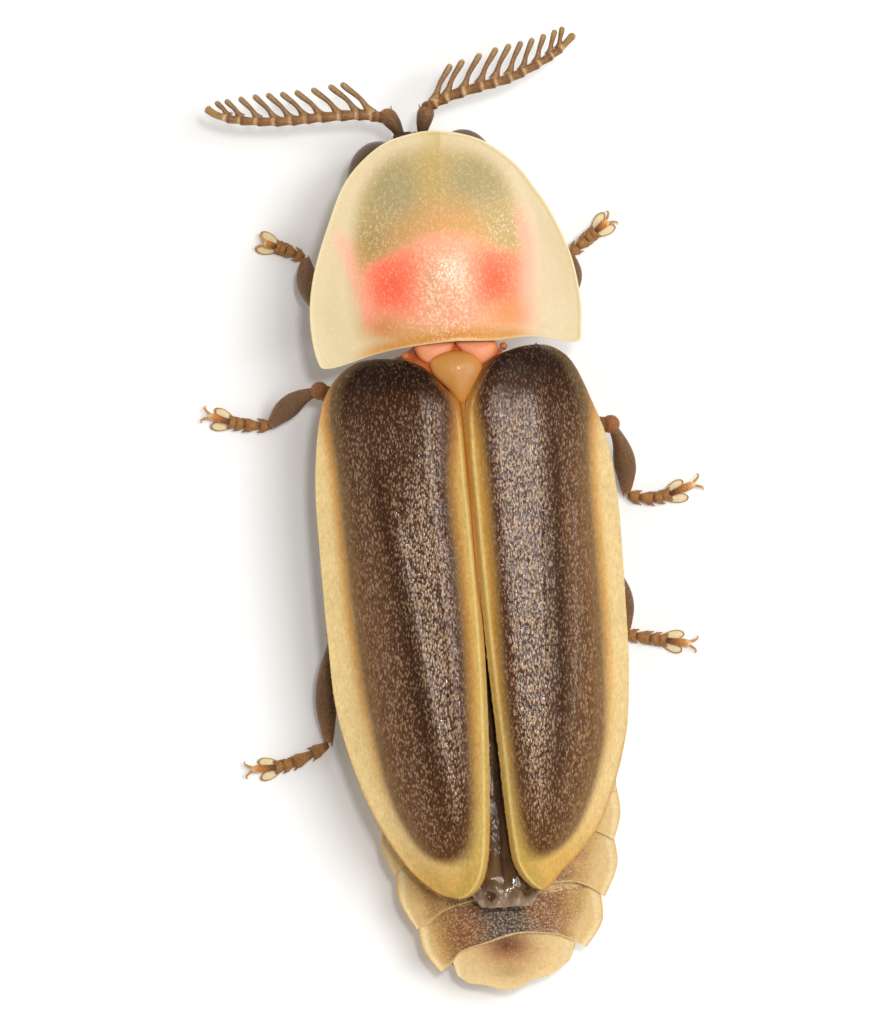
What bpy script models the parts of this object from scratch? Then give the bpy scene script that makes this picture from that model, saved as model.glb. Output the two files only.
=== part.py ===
"""A life-size male firefly with comb antennae, standing on six feet, one object for each part of its body.

Sizes are in millimetres, and mesh_object turns them to metres. +Z is up, the head points along +Y,
and the origin is on the floor under the middle of the whole insect. The body is 15 mm long from the
front of the shield to the tip of the tail, and it bends a little to the right towards the tail.
"""

import math

import bmesh
import bpy
from mathutils import Vector

MM = 0.001
WELD = 0.002
SHARP_ANGLE = 40

# Heights and thicknesses of the plates that cover the body.
GAP = 0.25
SHIELD_CROWN = 2.95
SHIELD_RIM = 2.12
SHIELD_BACK_RISE = 0.45
SHIELD_FLAT = 0.18
SHIELD_MARGIN = 0.9
SHIELD_THICK = 0.5
SHIELD_RIM_THICK = 0.3

# The middle of the shield's hind edge, and how far the rise there spreads: x and y.
SHIELD_BACK = (0.05, 3.6)
SHIELD_BACK_SPREAD = (1.1, 0.45)

CASE_THICK = 0.5
CASE_END_THICK = 0.3
CASE_CREST = 2.62
CASE_EDGE = 1.95
CASE_EDGE_FALL = 0.2
CASE_TIP_FALL = 0.39
CASE_SHOULDER_FALL = 0.28

# Shares of the length where the shoulder ends, the edge stops falling and the tip starts to fall.
CASE_SHOULDER_SHARE = 0.14
CASE_EDGE_SHARE = 0.4
CASE_TIP_SHARE = 0.6
CASE_THINNING = 0.4
CASE_THINNEST = 0.5

WING_THICK = 0.34
WING_FOLD = 0.08
WING_TIP_THINNING = 0.45
WING_STEPS = 12
WING_COLUMNS = 6

# The head, its eyes and its feelers.
EYE_HALF = (0.58, 0.75, 0.6)
EYE_CENTRES = {"left": (-1.31, 5.72, 1.24), "right": (0.13, 5.84, 1.24)}
EYE_ROWS = 10
EYE_SPOKES = 16
SOCKET_CLEARANCE = 0.6 * GAP
MOUTH = (-0.7, 6.15, 0.98)

# Each goes outward, forward and down from the mouth.
JAW = [(0.28, 0.0, 0.0), (0.3, 0.23, 0.03), (0.1, 0.37, 0.06)]
JAW_SIZES = [(0.3, 0.24), (0.24, 0.2), (0.08, 0.08)]
PALP = [(0.24, -0.2, 0.0), (0.3, 0.0, 0.26), (0.26, 0.2, 0.36)]
PALP_SIZES = [(0.24, 0.24), (0.22, 0.2), (0.12, 0.1)]

STEM_WIDTH = 0.3
STEM_DEPTH = 0.5
STEM_STEPS = 12
STEM_TAPER = 0.5
TEETH = 7
TOOTH_WIDTH = 0.2
FIRST_TOOTH = 0.17
LAST_TOOTH = 0.92
TOOTH_LEAN = 0.06
TOOTH_BEND = 0.45

# The legs. The soles are flat at the level of the floor.
LEG_THICK = 0.5
COXA_LENGTH = 0.5
COXA_TILT = 0.02
FOOT_WIDTH = 0.42
FOOT_DEPTH = 0.36
FOOT_TAPER = 0.35
FOOT_MIDDLE = 0.42
HEEL_OVERLAP = 0.14
CLAW_LEVEL = 0.12

# Each goes ahead of the toe and outward, with its level as a share of CLAW_LEVEL.
CLAW = [(-0.08, 0.03, 1.0), (0.06, 0.1, 1.0), (0.1, 0.13, 0.4)]
CLAW_SIZES = [(0.12, 0.14), (0.1, 0.1), (0.04, 0.04)]

SHIELD_CENTRE = (-0.12, 4.55)
SHIELD_OUTLINE = [
    (-0.38, 6.59), (0.4, 6.47), (1.27, 5.95), (1.89, 5.12), (2.18, 4.08), (2.24, 3.43),
    (2.1, 2.92), (1.36, 2.99), (0.05, 2.89), (-1.17, 2.72), (-2.2, 2.44),
    (-2.45, 3.0), (-2.5, 3.82), (-2.15, 5.12), (-1.83, 5.88), (-1.12, 6.43),
]
SHIELD_SPOKES = 40
SHIELD_SHARES = [0.0, 0.25, 0.45, 0.6, 0.75, 0.88, 1.0]

# Each row of a wing case runs from the seam to the outer edge: x, y and x, y.
CASE_ROWS = {
    "left": [
        (-0.95, 2.48, -0.95, 2.48), (-0.58, 2.4, -1.6, 2.36), (-0.32, 2.06, -2.05, 2.06),
        (-0.06, 1.62, -2.29, 1.6), (0.12, 0.5, -2.39, 0.5), (0.3, -0.9, -2.3, -0.9),
        (0.42, -2.3, -2.17, -2.3), (0.53, -3.69, -1.99, -3.66), (0.62, -5.09, -1.5, -5.09),
        (0.6, -6.14, -0.91, -6.1), (0.45, -6.6, -0.38, -6.63), (0.1, -6.82, 0.1, -6.82),
    ],
    "right": [
        (1.5, 2.72, 1.5, 2.72), (1.05, 2.64, 1.87, 2.62), (0.7, 2.32, 2.15, 2.34),
        (0.42, 1.75, 2.44, 1.85), (0.38, 1.1, 2.71, 1.2), (0.5, 0.15, 2.9, 0.15),
        (0.66, -1.42, 3.02, -1.42), (0.8, -2.99, 3.09, -2.99), (0.87, -4.22, 2.99, -4.22),
        (0.96, -5.53, 2.57, -5.53), (1.08, -6.28, 1.97, -6.28), (1.55, -6.64, 1.55, -6.64),
    ],
}
CASE_STEPS = 30

# Height across a row, as a share of the way from the edge to the crest. Three ribs stand up from it.
CASE_PROFILE = [0.9, 0.93, 1.0, 0.97, 1.03, 0.95, 0.96, 0.84, 0.8, 0.56, 0.3, 0.12, 0.0]

# y, middle x, half width, lowest, widest and highest level.
THORAX_RINGS = [
    (2.68, 0.05, 0.8, 0.95, 1.4, 1.72), (2.4, 0.07, 1.35, 0.85, 1.45, 1.82),
    (1.2, 0.15, 1.9, 0.8, 1.55, 1.85), (-0.2, 0.28, 2.0, 0.78, 1.5, 1.85),
    (-1.3, 0.4, 1.95, 0.82, 1.4, 1.6), (-2.0, 0.45, 1.6, 0.88, 1.2, 1.35),
]
FORE_RINGS = [
    (4.5, -0.2, 0.75, 1.1, 2.0, 2.5), (4.1, -0.15, 1.15, 0.85, 2.1, 2.55),
    (3.4, -0.05, 1.2, 0.85, 2.1, 2.55), (2.95, 0.05, 0.9, 1.05, 1.9, 2.5),
]
HEAD_RINGS = [
    (4.76, -0.4, 0.42, 1.0, 1.4, 1.85), (5.1, -0.45, 0.85, 0.8, 1.3, 1.92),
    (5.6, -0.55, 0.85, 0.7, 1.25, 1.88), (6.05, -0.65, 0.7, 0.7, 1.2, 1.76),
    (6.28, -0.72, 0.42, 0.8, 1.2, 1.6),
]
SCUTELLUM_OUTLINE = [
    (0.07, 2.5), (0.34, 2.4), (0.3, 2.12), (0.17, 1.86), (-0.02, 2.08), (-0.2, 2.38),
]
SCUTELLUM_MIDDLE = (0.08, 2.24)
SCUTELLUM_POINTS = 14

# Level and share of the outline's size, from inside the thorax to the top.
SCUTELLUM_LEVELS = [(1.5, 1.0), (2.54, 1.0), (2.66, 0.6)]

# Left and right hind corner of each plate of the abdomen, then its lowest, widest and highest level.
ABDOMEN_FRONT = ((-0.75, -2.28), (2.15, -2.28), 0.52, 1.05, 1.3)
ABDOMEN_PLATES = [
    ((-1.1, -3.3), (2.5, -2.95), 0.45, 1.06, 1.36),
    ((-1.22, -4.45), (2.68, -3.95), 0.42, 1.06, 1.36),
    ((-1.26, -5.6), (2.82, -4.9), 0.4, 1.04, 1.34),
    ((-0.98, -6.42), (2.8, -5.85), 0.4, 1.0, 1.26),
    ((-0.68, -7.35), (2.62, -6.8), 0.42, 0.94, 1.16),
    ((-0.22, -8.05), (2.2, -7.65), 0.46, 0.86, 1.04),
]
ABDOMEN_TAIL = [
    ((0.15, -8.2), (1.95, -8.0), 0.48, 0.78, 0.94),
    ((0.6, -8.41), (1.35, -8.36), 0.6, 0.74, 0.84),
]
PLATE_TUCK = 0.12
PLATE_STEP = 0.05
CORNER_SWEEP = 0.2
TUCK_SWEEP = 0.04

WING_ROWS = [
    (0.0, -2.25, 0.95, -2.25), (-0.2, -3.4, 1.35, -3.4), (-0.2, -4.8, 1.6, -4.8),
    (0.05, -6.1, 1.6, -6.1), (0.35, -6.75, 1.4, -6.7), (0.85, -6.95, 0.95, -6.95),
]
WING_LEVELS = [(1.54,), (1.53,), (1.52,), (1.46,), (1.38,), (1.34,)]

# The foot is the line of its sole, from the heel to the root of the claws.
LEGS = {
    "front_left": {
        "hip": (-0.42, 4.0, 0.55), "knee": (-2.2, 3.4, 1.12), "ankle": (-2.58, 4.34, 0.24),
        "foot": [(-2.62, 4.37), (-2.92, 4.52), (-3.3, 4.66)],
    },
    "front_right": {
        "hip": (0.32, 4.05, 0.55), "knee": (1.9, 3.5, 1.12), "ankle": (2.06, 4.45, 0.24),
        "foot": [(2.08, 4.47), (2.4, 4.75), (2.71, 5.02)],
    },
    "mid_left": {
        "hip": (-0.35, 1.2, 0.5), "knee": (-2.3, 2.08, 1.12), "ankle": (-3.2, 1.5, 0.24),
        "foot": [(-3.2, 1.47), (-3.7, 1.48), (-4.26, 1.6)],
    },
    "mid_right": {
        "hip": (0.7, 1.25, 0.5), "knee": (2.7, 1.5, 1.12), "ankle": (3.1, 0.35, 0.24),
        "foot": [(3.12, 0.3), (3.63, 0.18), (4.22, 0.41)],
    },
    "hind_left": {
        "hip": (-0.2, -0.9, 0.5), "knee": (-1.95, -2.1, 1.0), "ankle": (-2.22, -4.15, 0.24),
        "foot": [(-2.2, -4.15), (-2.85, -4.46), (-3.52, -4.58)],
    },
    "hind_right": {
        "hip": (1.0, -0.82, 0.5), "knee": (2.6, -0.75, 1.0), "ankle": (3.05, -2.15, 0.24),
        "foot": [(3.05, -2.2), (3.54, -2.28), (4.2, -2.37)],
    },
}

# Share of the way along, then width and depth as shares of the limb's own.
THIGH_SHAPE = [(0.0, 0.5, 0.5), (0.2, 1.0, 0.9), (0.5, 1.1, 1.0), (0.85, 0.9, 0.85), (1.0, 0.5, 0.5)]
SHIN_SHAPE = [(0.0, 0.4, 0.5), (0.15, 0.72, 0.8), (0.6, 1.0, 0.9), (0.92, 0.95, 0.8), (1.05, 0.6, 0.6)]
FOOT_SHAPE = [
    (0.0, 0.6), (0.18, 0.86), (0.2, 0.7), (0.36, 0.86), (0.38, 0.7),
    (0.52, 0.9), (0.54, 0.8), (0.78, 1.0), (0.82, 0.55), (1.0, 0.4),
]
COXA_SHAPE = [(0.0, 0.5, 0.4), (0.25, 1.0, 0.8), (0.7, 1.05, 0.85), (1.0, 0.6, 0.5)]
THIGH_BOW = 0.04

ANTENNAE = {
    "left": {
        "scape": [(-0.92, 6.56, 1.55), (-1.06, 6.78, 1.6), (-1.2, 6.96, 1.62)],
        "stem": [
            (-1.15, 6.86, 1.6), (-1.61, 6.87, 1.66), (-2.3, 6.82, 1.72),
            (-3.0, 6.75, 1.72), (-3.7, 6.78, 1.66), (-4.28, 6.96, 1.55),
        ],
        "comb": [
            (-1.9, 7.44, 1.66), (-2.48, 7.36, 1.72), (-3.0, 7.28, 1.72),
            (-3.72, 7.22, 1.66), (-4.18, 7.1, 1.56),
        ],
        "lean": 1,
    },
    "right": {
        "scape": [(-0.5, 6.56, 1.55), (-0.47, 6.85, 1.6), (-0.45, 7.1, 1.62)],
        "stem": [
            (-0.47, 7.03, 1.6), (-0.03, 7.2, 1.66), (0.49, 7.36, 1.72),
            (1.01, 7.52, 1.72), (1.5, 7.77, 1.66), (2.11, 8.25, 1.55),
        ],
        "comb": [
            (-0.05, 7.76, 1.66), (0.51, 7.97, 1.72), (1.0, 8.08, 1.72),
            (1.45, 8.24, 1.66), (1.86, 8.4, 1.56),
        ],
        "lean": -1,
    },
}
SCAPE_SIZES = [(0.26, 0.34), (0.34, 0.46), (0.38, 0.5), (0.34, 0.46), (0.16, 0.24)]


def clear_scene():
    for obj in list(bpy.data.objects):
        bpy.data.objects.remove(obj, do_unlink=True)


def linear_channel(value):
    return value / 12.92 if value <= 0.04045 else ((value + 0.055) / 1.055) ** 2.4


def material(name, colour, roughness):
    made = bpy.data.materials.new(name)
    made.use_nodes = True
    shader = made.node_tree.nodes["Principled BSDF"]
    rgb = [linear_channel(int(colour[start:start + 2], 16) / 255) for start in (0, 2, 4)]
    shader.inputs["Base Color"].default_value = (*rgb, 1.0)
    shader.inputs["Roughness"].default_value = roughness
    shader.inputs["Metallic"].default_value = 0.0
    made.diffuse_color = (*rgb, 1.0)
    return made


def mesh_object(name, points, faces, finish=None):
    """One object from points in millimetres. Points that meet are made one."""
    mesh = bpy.data.meshes.new(name)
    mesh.from_pydata([Vector(point) * MM for point in points], [], faces)
    shape = bmesh.new()
    shape.from_mesh(mesh)
    bmesh.ops.remove_doubles(shape, verts=shape.verts, dist=WELD * MM)
    bmesh.ops.recalc_face_normals(shape, faces=shape.faces)
    shape.to_mesh(mesh)
    shape.free()
    obj = bpy.data.objects.new(name, mesh)
    bpy.context.scene.collection.objects.link(obj)
    if finish:
        mesh.materials.append(finish)
    mesh.shade_smooth()
    mesh.set_sharp_from_angle(angle=math.radians(SHARP_ANGLE))
    return obj


def blend(first, second, share):
    return tuple(a + (b - a) * share for a, b in zip(first, second))


def smooth_step(value):
    held = min(max(value, 0.0), 1.0)
    return held * held * (3 - 2 * held)


def through(points, share, closed=False):
    """The point at this share of the way along a smooth curve through the points."""
    count = len(points)
    spans = count if closed else count - 1
    place = share * spans
    start = min(int(place), spans - 1)
    step = place - start
    if closed:
        near = [points[(start + offset) % count] for offset in (-1, 0, 1, 2)]
    else:
        near = [points[min(max(start + offset, 0), spans)] for offset in (-1, 0, 1, 2)]
    return tuple(
        0.5 * (
            2 * b + (c - a) * step
            + (2 * a - 5 * b + 4 * c - d) * step ** 2
            + (3 * b - a - 3 * c + d) * step ** 3
        )
        for a, b, c, d in zip(*near)
    )


def loft(name, rings, finish=None):
    """A closed skin over rings of points, each end closed to its own middle."""
    count = len(rings[0])
    points = [point for ring in rings for point in ring]
    faces = []
    for row in range(len(rings) - 1):
        for step in range(count):
            a = row * count + step
            b = row * count + (step + 1) % count
            faces += [(a, b, b + count), (a, b + count, a + count)]
    for first, ring in ((0, rings[0]), ((len(rings) - 1) * count, rings[-1])):
        middle = len(points)
        points.append(tuple(sum(values) / count for values in zip(*ring)))
        faces += [(first + step, first + (step + 1) % count, middle) for step in range(count)]
    return mesh_object(name, points, faces, finish)


def plate(name, top, bottom, finish=None):
    """A closed plate between two grids of one size, split into triangles alike on both faces."""
    rows = len(top)
    columns = len(top[0])
    points = [point for grid in (top, bottom) for row in grid for point in row]
    under = rows * columns
    faces = []
    for row in range(rows - 1):
        for column in range(columns - 1):
            for a in (row * columns + column, row * columns + column + under):
                faces += [(a, a + 1, a + columns + 1), (a, a + columns + 1, a + columns)]
    border = list(range(columns))
    border += [row * columns + columns - 1 for row in range(1, rows)]
    border += [(rows - 1) * columns + column for column in range(columns - 2, -1, -1)]
    border += [row * columns for row in range(rows - 2, 0, -1)]
    for here, after in zip(border, border[1:] + border[:1]):
        faces += [(here, after, after + under), (here, after + under, here + under)]
    return mesh_object(name, points, faces, finish)


def sweep(name, path, sizes, sides=8, finish=None):
    """A tapering limb along a path, never below the floor. Sizes are its width and depth at each point."""
    rings = []
    for index, point in enumerate(path):
        before = Vector(path[max(index - 1, 0)])
        after = Vector(path[min(index + 1, len(path) - 1)])
        along = (after - before).normalized()
        across = along.cross(Vector((0, 0, 1))).normalized()
        upward = across.cross(along)
        width, depth = sizes[index]
        ring = []
        for side in range(sides):
            turn = 2 * math.pi * (side + 0.5) / sides
            place = Vector(point) + across * (width / 2 * math.cos(turn))
            place += upward * (depth / 2 * math.sin(turn))
            ring.append((place.x, place.y, max(place.z, 0.0)))
        rings.append(ring)
    return loft(name, rings, finish)


def body_ring(left, right, low, side, high, bow=0.0, keel=2.0, arch=0.9, count=18):
    """A ring across the body between its left and right corners, arched above and keeled below."""
    ring = []
    for step in range(count):
        turn = 2 * math.pi * step / count
        reach = math.cos(turn)
        lift = math.sin(turn)
        x, y = blend(left, right, (1 + reach) / 2)
        if lift >= 0:
            z = side + (high - side) * lift ** arch
        else:
            z = side - (side - low) * (-lift) ** keel
        ring.append((x, y + bow * (1 - reach * reach), z))
    return ring


def straight_rings(table, keel):
    rings = []
    for y, middle, half, low, side, high in table:
        rings.append(body_ring((middle - half, y), (middle + half, y), low, side, high, keel=keel))
    return rings


def ellipsoid(name, centre, half, finish=None):
    rings = []
    for row in range(1, EYE_ROWS):
        tilt = math.pi * row / EYE_ROWS
        ring = []
        for step in range(EYE_SPOKES):
            turn = 2 * math.pi * step / EYE_SPOKES
            x = centre[0] + half[0] * math.sin(tilt) * math.cos(turn)
            y = centre[1] + half[1] * math.cos(tilt)
            z = centre[2] + half[2] * math.sin(tilt) * math.sin(turn)
            ring.append((x, y, z))
        rings.append(ring)
    return loft(name, rings, finish)


def fuse(obj, operation, others):
    """Joins the others to obj, or cuts them from it, and removes them."""
    group = bpy.data.collections.new(obj.name + "_pieces")
    for other in others:
        group.objects.link(other)
    change = obj.modifiers.new("fuse", "BOOLEAN")
    change.operation = operation
    change.operand_type = "COLLECTION"
    change.collection = group
    bpy.context.view_layer.update()
    graph = bpy.context.evaluated_depsgraph_get()
    mesh = bpy.data.meshes.new_from_object(obj.evaluated_get(graph))
    obj.modifiers.remove(change)
    obj.data = mesh
    for other in others:
        bpy.data.objects.remove(other, do_unlink=True)
    bpy.data.collections.remove(group)
    keep_largest(mesh)
    return obj


def keep_largest(mesh):
    """Leaves only the largest closed surface, in triangles."""
    shape = bmesh.new()
    shape.from_mesh(mesh)
    bmesh.ops.triangulate(shape, faces=shape.faces)
    bmesh.ops.remove_doubles(shape, verts=shape.verts, dist=WELD * MM / 2)
    left = set(shape.faces)
    surfaces = []
    while left:
        surface = {left.pop()}
        edge = list(surface)
        while edge:
            near = {face for line in edge.pop().edges for face in line.link_faces} & left
            left -= near
            surface |= near
            edge += near
        surfaces.append(surface)
    surfaces.sort(key=lambda surface: sum(face.calc_area() for face in surface))
    for surface in surfaces[:-1]:
        bmesh.ops.delete(shape, geom=list(surface), context="FACES")
    loose = [vertex for vertex in shape.verts if not vertex.link_faces]
    bmesh.ops.delete(shape, geom=loose, context="VERTS")
    shape.to_mesh(mesh)
    shape.free()


def shield_point(share, turn):
    """A point of the shield's upper side: a flat crown that falls to a thin, spread margin."""
    x, y = blend(SHIELD_CENTRE, through(SHIELD_OUTLINE, turn, closed=True), share)
    aside = (x - SHIELD_BACK[0]) / SHIELD_BACK_SPREAD[0]
    ahead = (y - SHIELD_BACK[1]) / SHIELD_BACK_SPREAD[1]
    backward = 0.5 - 0.5 * math.tanh(ahead)
    rim = SHIELD_RIM + SHIELD_BACK_RISE * backward * math.exp(-aside * aside)
    fall = (share - SHIELD_FLAT) / (SHIELD_MARGIN - SHIELD_FLAT)
    return (x, y, rim + (SHIELD_CROWN - rim) * (1 - smooth_step(fall)))


def make_shield(finish):
    top = []
    for share in SHIELD_SHARES:
        top.append([shield_point(share, step / SHIELD_SPOKES) for step in range(SHIELD_SPOKES)])
    rings = list(top)
    for share, ring in zip(reversed(SHIELD_SHARES), reversed(top)):
        depth = SHIELD_RIM_THICK + (SHIELD_THICK - SHIELD_RIM_THICK) * math.cos(share * math.pi / 2)
        rings.append([(x, y, z - depth) for x, y, z in ring])
    shield = loft("pronotum", rings, finish)
    return fuse(shield, "UNION", [loft("fore", straight_rings(FORE_RINGS, keel=2.0))])


def make_wing_case(side, finish):
    top = []
    bottom = []
    for step in range(CASE_STEPS + 1):
        share = 0.5 - 0.5 * math.cos(math.pi * step / CASE_STEPS)
        inner_x, inner_y, outer_x, outer_y = through(CASE_ROWS[side], share)
        beyond = max(share - CASE_TIP_SHARE, 0.0) / (1 - CASE_TIP_SHARE)
        ahead = max(1 - share / CASE_SHOULDER_SHARE, 0.0)
        crest = CASE_CREST - CASE_TIP_FALL * beyond - CASE_SHOULDER_FALL * ahead
        edge = CASE_EDGE - CASE_EDGE_FALL * min(share / CASE_EDGE_SHARE, 1.0)
        over = []
        under = []
        for column, height in enumerate(CASE_PROFILE):
            across = column / (len(CASE_PROFILE) - 1)
            x, y = blend((inner_x, inner_y), (outer_x, outer_y), across)
            z = edge + (crest - edge) * height
            thin = CASE_THINNING * (abs(2 * share - 1) ** 6 + across ** 6)
            over.append((x, y, z))
            under.append((x, y, z - CASE_THICK * (1 - min(thin, CASE_THINNEST))))
        top.append(over)
        bottom.append(under)
    for row in (0, -1):
        level = sum(point[2] for point in top[row]) / len(top[row])
        top[row] = [(x, y, level) for x, y, z in top[row]]
        bottom[row] = [(x, y, level - CASE_END_THICK) for x, y, z in bottom[row]]
    return plate("elytron_" + side, top, bottom, finish)


def make_wings(finish):
    """The hind wings, folded flat on the abdomen. They show between the ends of the wing cases."""
    top = []
    bottom = []
    for step in range(WING_STEPS + 1):
        share = step / WING_STEPS
        inner_x, inner_y, outer_x, outer_y = through(WING_ROWS, share)
        level = through(WING_LEVELS, share)[0]
        depth = WING_THICK * (1 - WING_TIP_THINNING * share ** 3)
        over = []
        under = []
        for column in range(WING_COLUMNS + 1):
            across = column / WING_COLUMNS
            x, y = blend((inner_x, inner_y), (outer_x, outer_y), across)
            z = level + WING_FOLD * math.sin(math.pi * across)
            over.append((x, y, z + depth))
            under.append((x, y, z))
        top.append(over)
        bottom.append(under)
    return plate("hind_wings", top, bottom, finish)


def make_thorax(finish):
    thorax = loft("thorax", straight_rings(THORAX_RINGS, keel=2.0), finish)
    outline = []
    for step in range(SCUTELLUM_POINTS):
        outline.append(through(SCUTELLUM_OUTLINE, step / SCUTELLUM_POINTS, closed=True))
    rings = []
    for level, share in SCUTELLUM_LEVELS:
        rings.append([(*blend(SCUTELLUM_MIDDLE, point, share), level) for point in outline])
    return fuse(thorax, "UNION", [loft("scutellum", rings)])


def make_abdomen(finish):
    """Overlapping plates, each with a corner swept back on both sides, that end in a rounded tail."""
    rings = [body_ring(*ABDOMEN_FRONT)]
    for left, right, low, side, high in ABDOMEN_PLATES:
        rings.append(body_ring(left, right, low, side, high, bow=CORNER_SWEEP))
        next_left = (left[0] + PLATE_TUCK, left[1] + CORNER_SWEEP)
        next_right = (right[0] - PLATE_TUCK, right[1] + CORNER_SWEEP)
        lower = low + PLATE_STEP
        higher = high - PLATE_STEP
        rings.append(body_ring(next_left, next_right, lower, side, higher, bow=TUCK_SWEEP))
    rings += [body_ring(*ring) for ring in ABDOMEN_TAIL]
    return loft("abdomen", rings, finish)


def make_head(finish):
    head = loft("head", straight_rings(HEAD_RINGS, keel=1.0), finish)
    x, y, z = MOUTH
    pieces = []
    for sign in (-1, 1):
        for name, line, sizes in (("jaw", JAW, JAW_SIZES), ("palp", PALP, PALP_SIZES)):
            path = [(x + sign * out, y + ahead, z - down) for out, ahead, down in line]
            pieces.append(sweep(name, path, sizes, sides=6))
    fuse(head, "UNION", pieces)
    sockets = []
    for side, centre in EYE_CENTRES.items():
        grown = tuple(half + SOCKET_CLEARANCE for half in EYE_HALF)
        sockets.append(ellipsoid("socket_" + side, centre, grown))
    return fuse(head, "DIFFERENCE", sockets)


def make_tooth(places, share):
    """One branch of the comb, a little bowed, from inside the stem to its own tip."""
    root = through(places["stem"], FIRST_TOOTH + (LAST_TOOTH - FIRST_TOOTH) * share)
    tip = through(places["comb"], share)
    x, y, z = blend(root, tip, TOOTH_BEND)
    lean = TOOTH_LEAN * (1 - share)
    middle = (x + lean * places["lean"], y + lean, z)
    width = TOOTH_WIDTH * (1 - 0.3 * share)
    depth = STEM_DEPTH * (0.8 - 0.35 * share)
    sizes = [(width, depth), (0.95 * width, 0.9 * depth), (0.6 * width, 0.45 * depth)]
    return sweep("tooth", [root, middle, tip], sizes, sides=6)


def make_antenna(side, finish):
    places = ANTENNAE[side]
    path = [through(places["stem"], step / STEM_STEPS) for step in range(STEM_STEPS + 1)]
    sizes = []
    for step in range(STEM_STEPS + 1):
        taper = 1 - STEM_TAPER * step / STEM_STEPS
        rounding = 0.5 if step in (0, STEM_STEPS) else 1.0
        sizes.append((STEM_WIDTH * taper * rounding, STEM_DEPTH * taper * rounding))
    stem = sweep("antenna_" + side, path, sizes, finish=finish)
    last = len(SCAPE_SIZES) - 1
    scape_path = [through(places["scape"], step / last) for step in range(last + 1)]
    pieces = [sweep("scape", scape_path, SCAPE_SIZES)]
    pieces += [make_tooth(places, tooth / (TEETH - 1)) for tooth in range(TEETH)]
    return fuse(stem, "UNION", pieces)


def make_limb(name, start, end, shape, bow=0.0, finish=None):
    path = []
    sizes = []
    for share, width, depth in shape:
        x, y, z = blend(start, end, share)
        path.append((x, y, z + bow * math.sin(math.pi * min(share, 1.0))))
        sizes.append((LEG_THICK * width, LEG_THICK * depth))
    return sweep(name, path, sizes, finish=finish)


def make_foot(places):
    """Five joints on a flat sole. The fourth is the widest, with a lobe on each side."""
    sole = places["foot"]
    heading = (Vector(sole[1]) - Vector(sole[0])).normalized()
    heel = Vector(places["ankle"][:2]) - heading * HEEL_OVERLAP
    level = FOOT_DEPTH * FOOT_MIDDLE
    path = [(heel.x, heel.y, level)]
    sizes = [(0.5 * FOOT_WIDTH, FOOT_DEPTH)]
    for share, width in FOOT_SHAPE:
        x, y = through(sole, share)
        thin = 1 - FOOT_TAPER * share
        path.append((x, y, level * thin))
        sizes.append((FOOT_WIDTH * width, FOOT_DEPTH * thin))
    return sweep("foot", path, sizes)


def make_claws(places):
    toe = Vector((*places["foot"][-1], 0.0))
    ball = Vector((*places["foot"][-2], 0.0))
    ahead = (toe - ball).normalized()
    aside = Vector((-ahead.y, ahead.x, 0.0))
    claws = []
    for sign in (-1, 1):
        path = []
        for forward, outward, level in CLAW:
            place = toe + ahead * forward + aside * (sign * outward)
            path.append(place + Vector((0, 0, level * CLAW_LEVEL)))
        claws.append(sweep("claw", path, CLAW_SIZES, sides=5))
    return claws


def make_coxa(places):
    """The stout first joint, which points back from the hip towards the middle of the body."""
    hip = Vector(places["hip"])
    half = Vector((0.0, COXA_LENGTH / 2, COXA_TILT))
    return make_limb("coxa", hip + half, hip - half, COXA_SHAPE)


def make_leg(name, places, finish):
    thigh = make_limb("leg_" + name, places["hip"], places["knee"], THIGH_SHAPE, THIGH_BOW, finish)
    shin = make_limb("shin", places["knee"], places["ankle"], SHIN_SHAPE)
    return fuse(thigh, "UNION", [make_coxa(places), shin, make_foot(places), *make_claws(places)])


clear_scene()

shield_cuticle = material("shield_cuticle", "E8D39A", 0.4)
case_cuticle = material("case_cuticle", "4F3A2C", 0.35)
brown_cuticle = material("brown_cuticle", "8A6238", 0.45)
dark_cuticle = material("dark_cuticle", "4B3A2C", 0.4)
eye_cuticle = material("eye_cuticle", "2B2420", 0.2)
wing_membrane = material("wing_membrane", "5A4A3C", 0.3)
abdomen_cuticle = material("abdomen_cuticle", "C9985A", 0.45)

make_shield(shield_cuticle)
make_thorax(brown_cuticle)
make_abdomen(abdomen_cuticle)
make_wings(wing_membrane)
make_head(dark_cuticle)
for body_side in ("left", "right"):
    make_wing_case(body_side, case_cuticle)
    ellipsoid("eye_" + body_side, EYE_CENTRES[body_side], EYE_HALF, eye_cuticle)
    make_antenna(body_side, brown_cuticle)
for leg_name, leg_places in LEGS.items():
    make_leg(leg_name, leg_places, dark_cuticle)
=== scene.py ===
# %% [markdown]
# # A firefly, life size
# This lesson makes the outside of a male firefly with feelers like combs. The real insect is 15 mm
# long, so every size below is in millimetres, and one function turns them into Blender's metres.
# The body is a set of hard plates with soft joints between them, and each plate is a piece of its
# own here. A solid model is loaded first. It says where each part of the insect is.

import math

import bmesh
import bpy
import numpy as np
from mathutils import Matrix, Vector, noise

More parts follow.
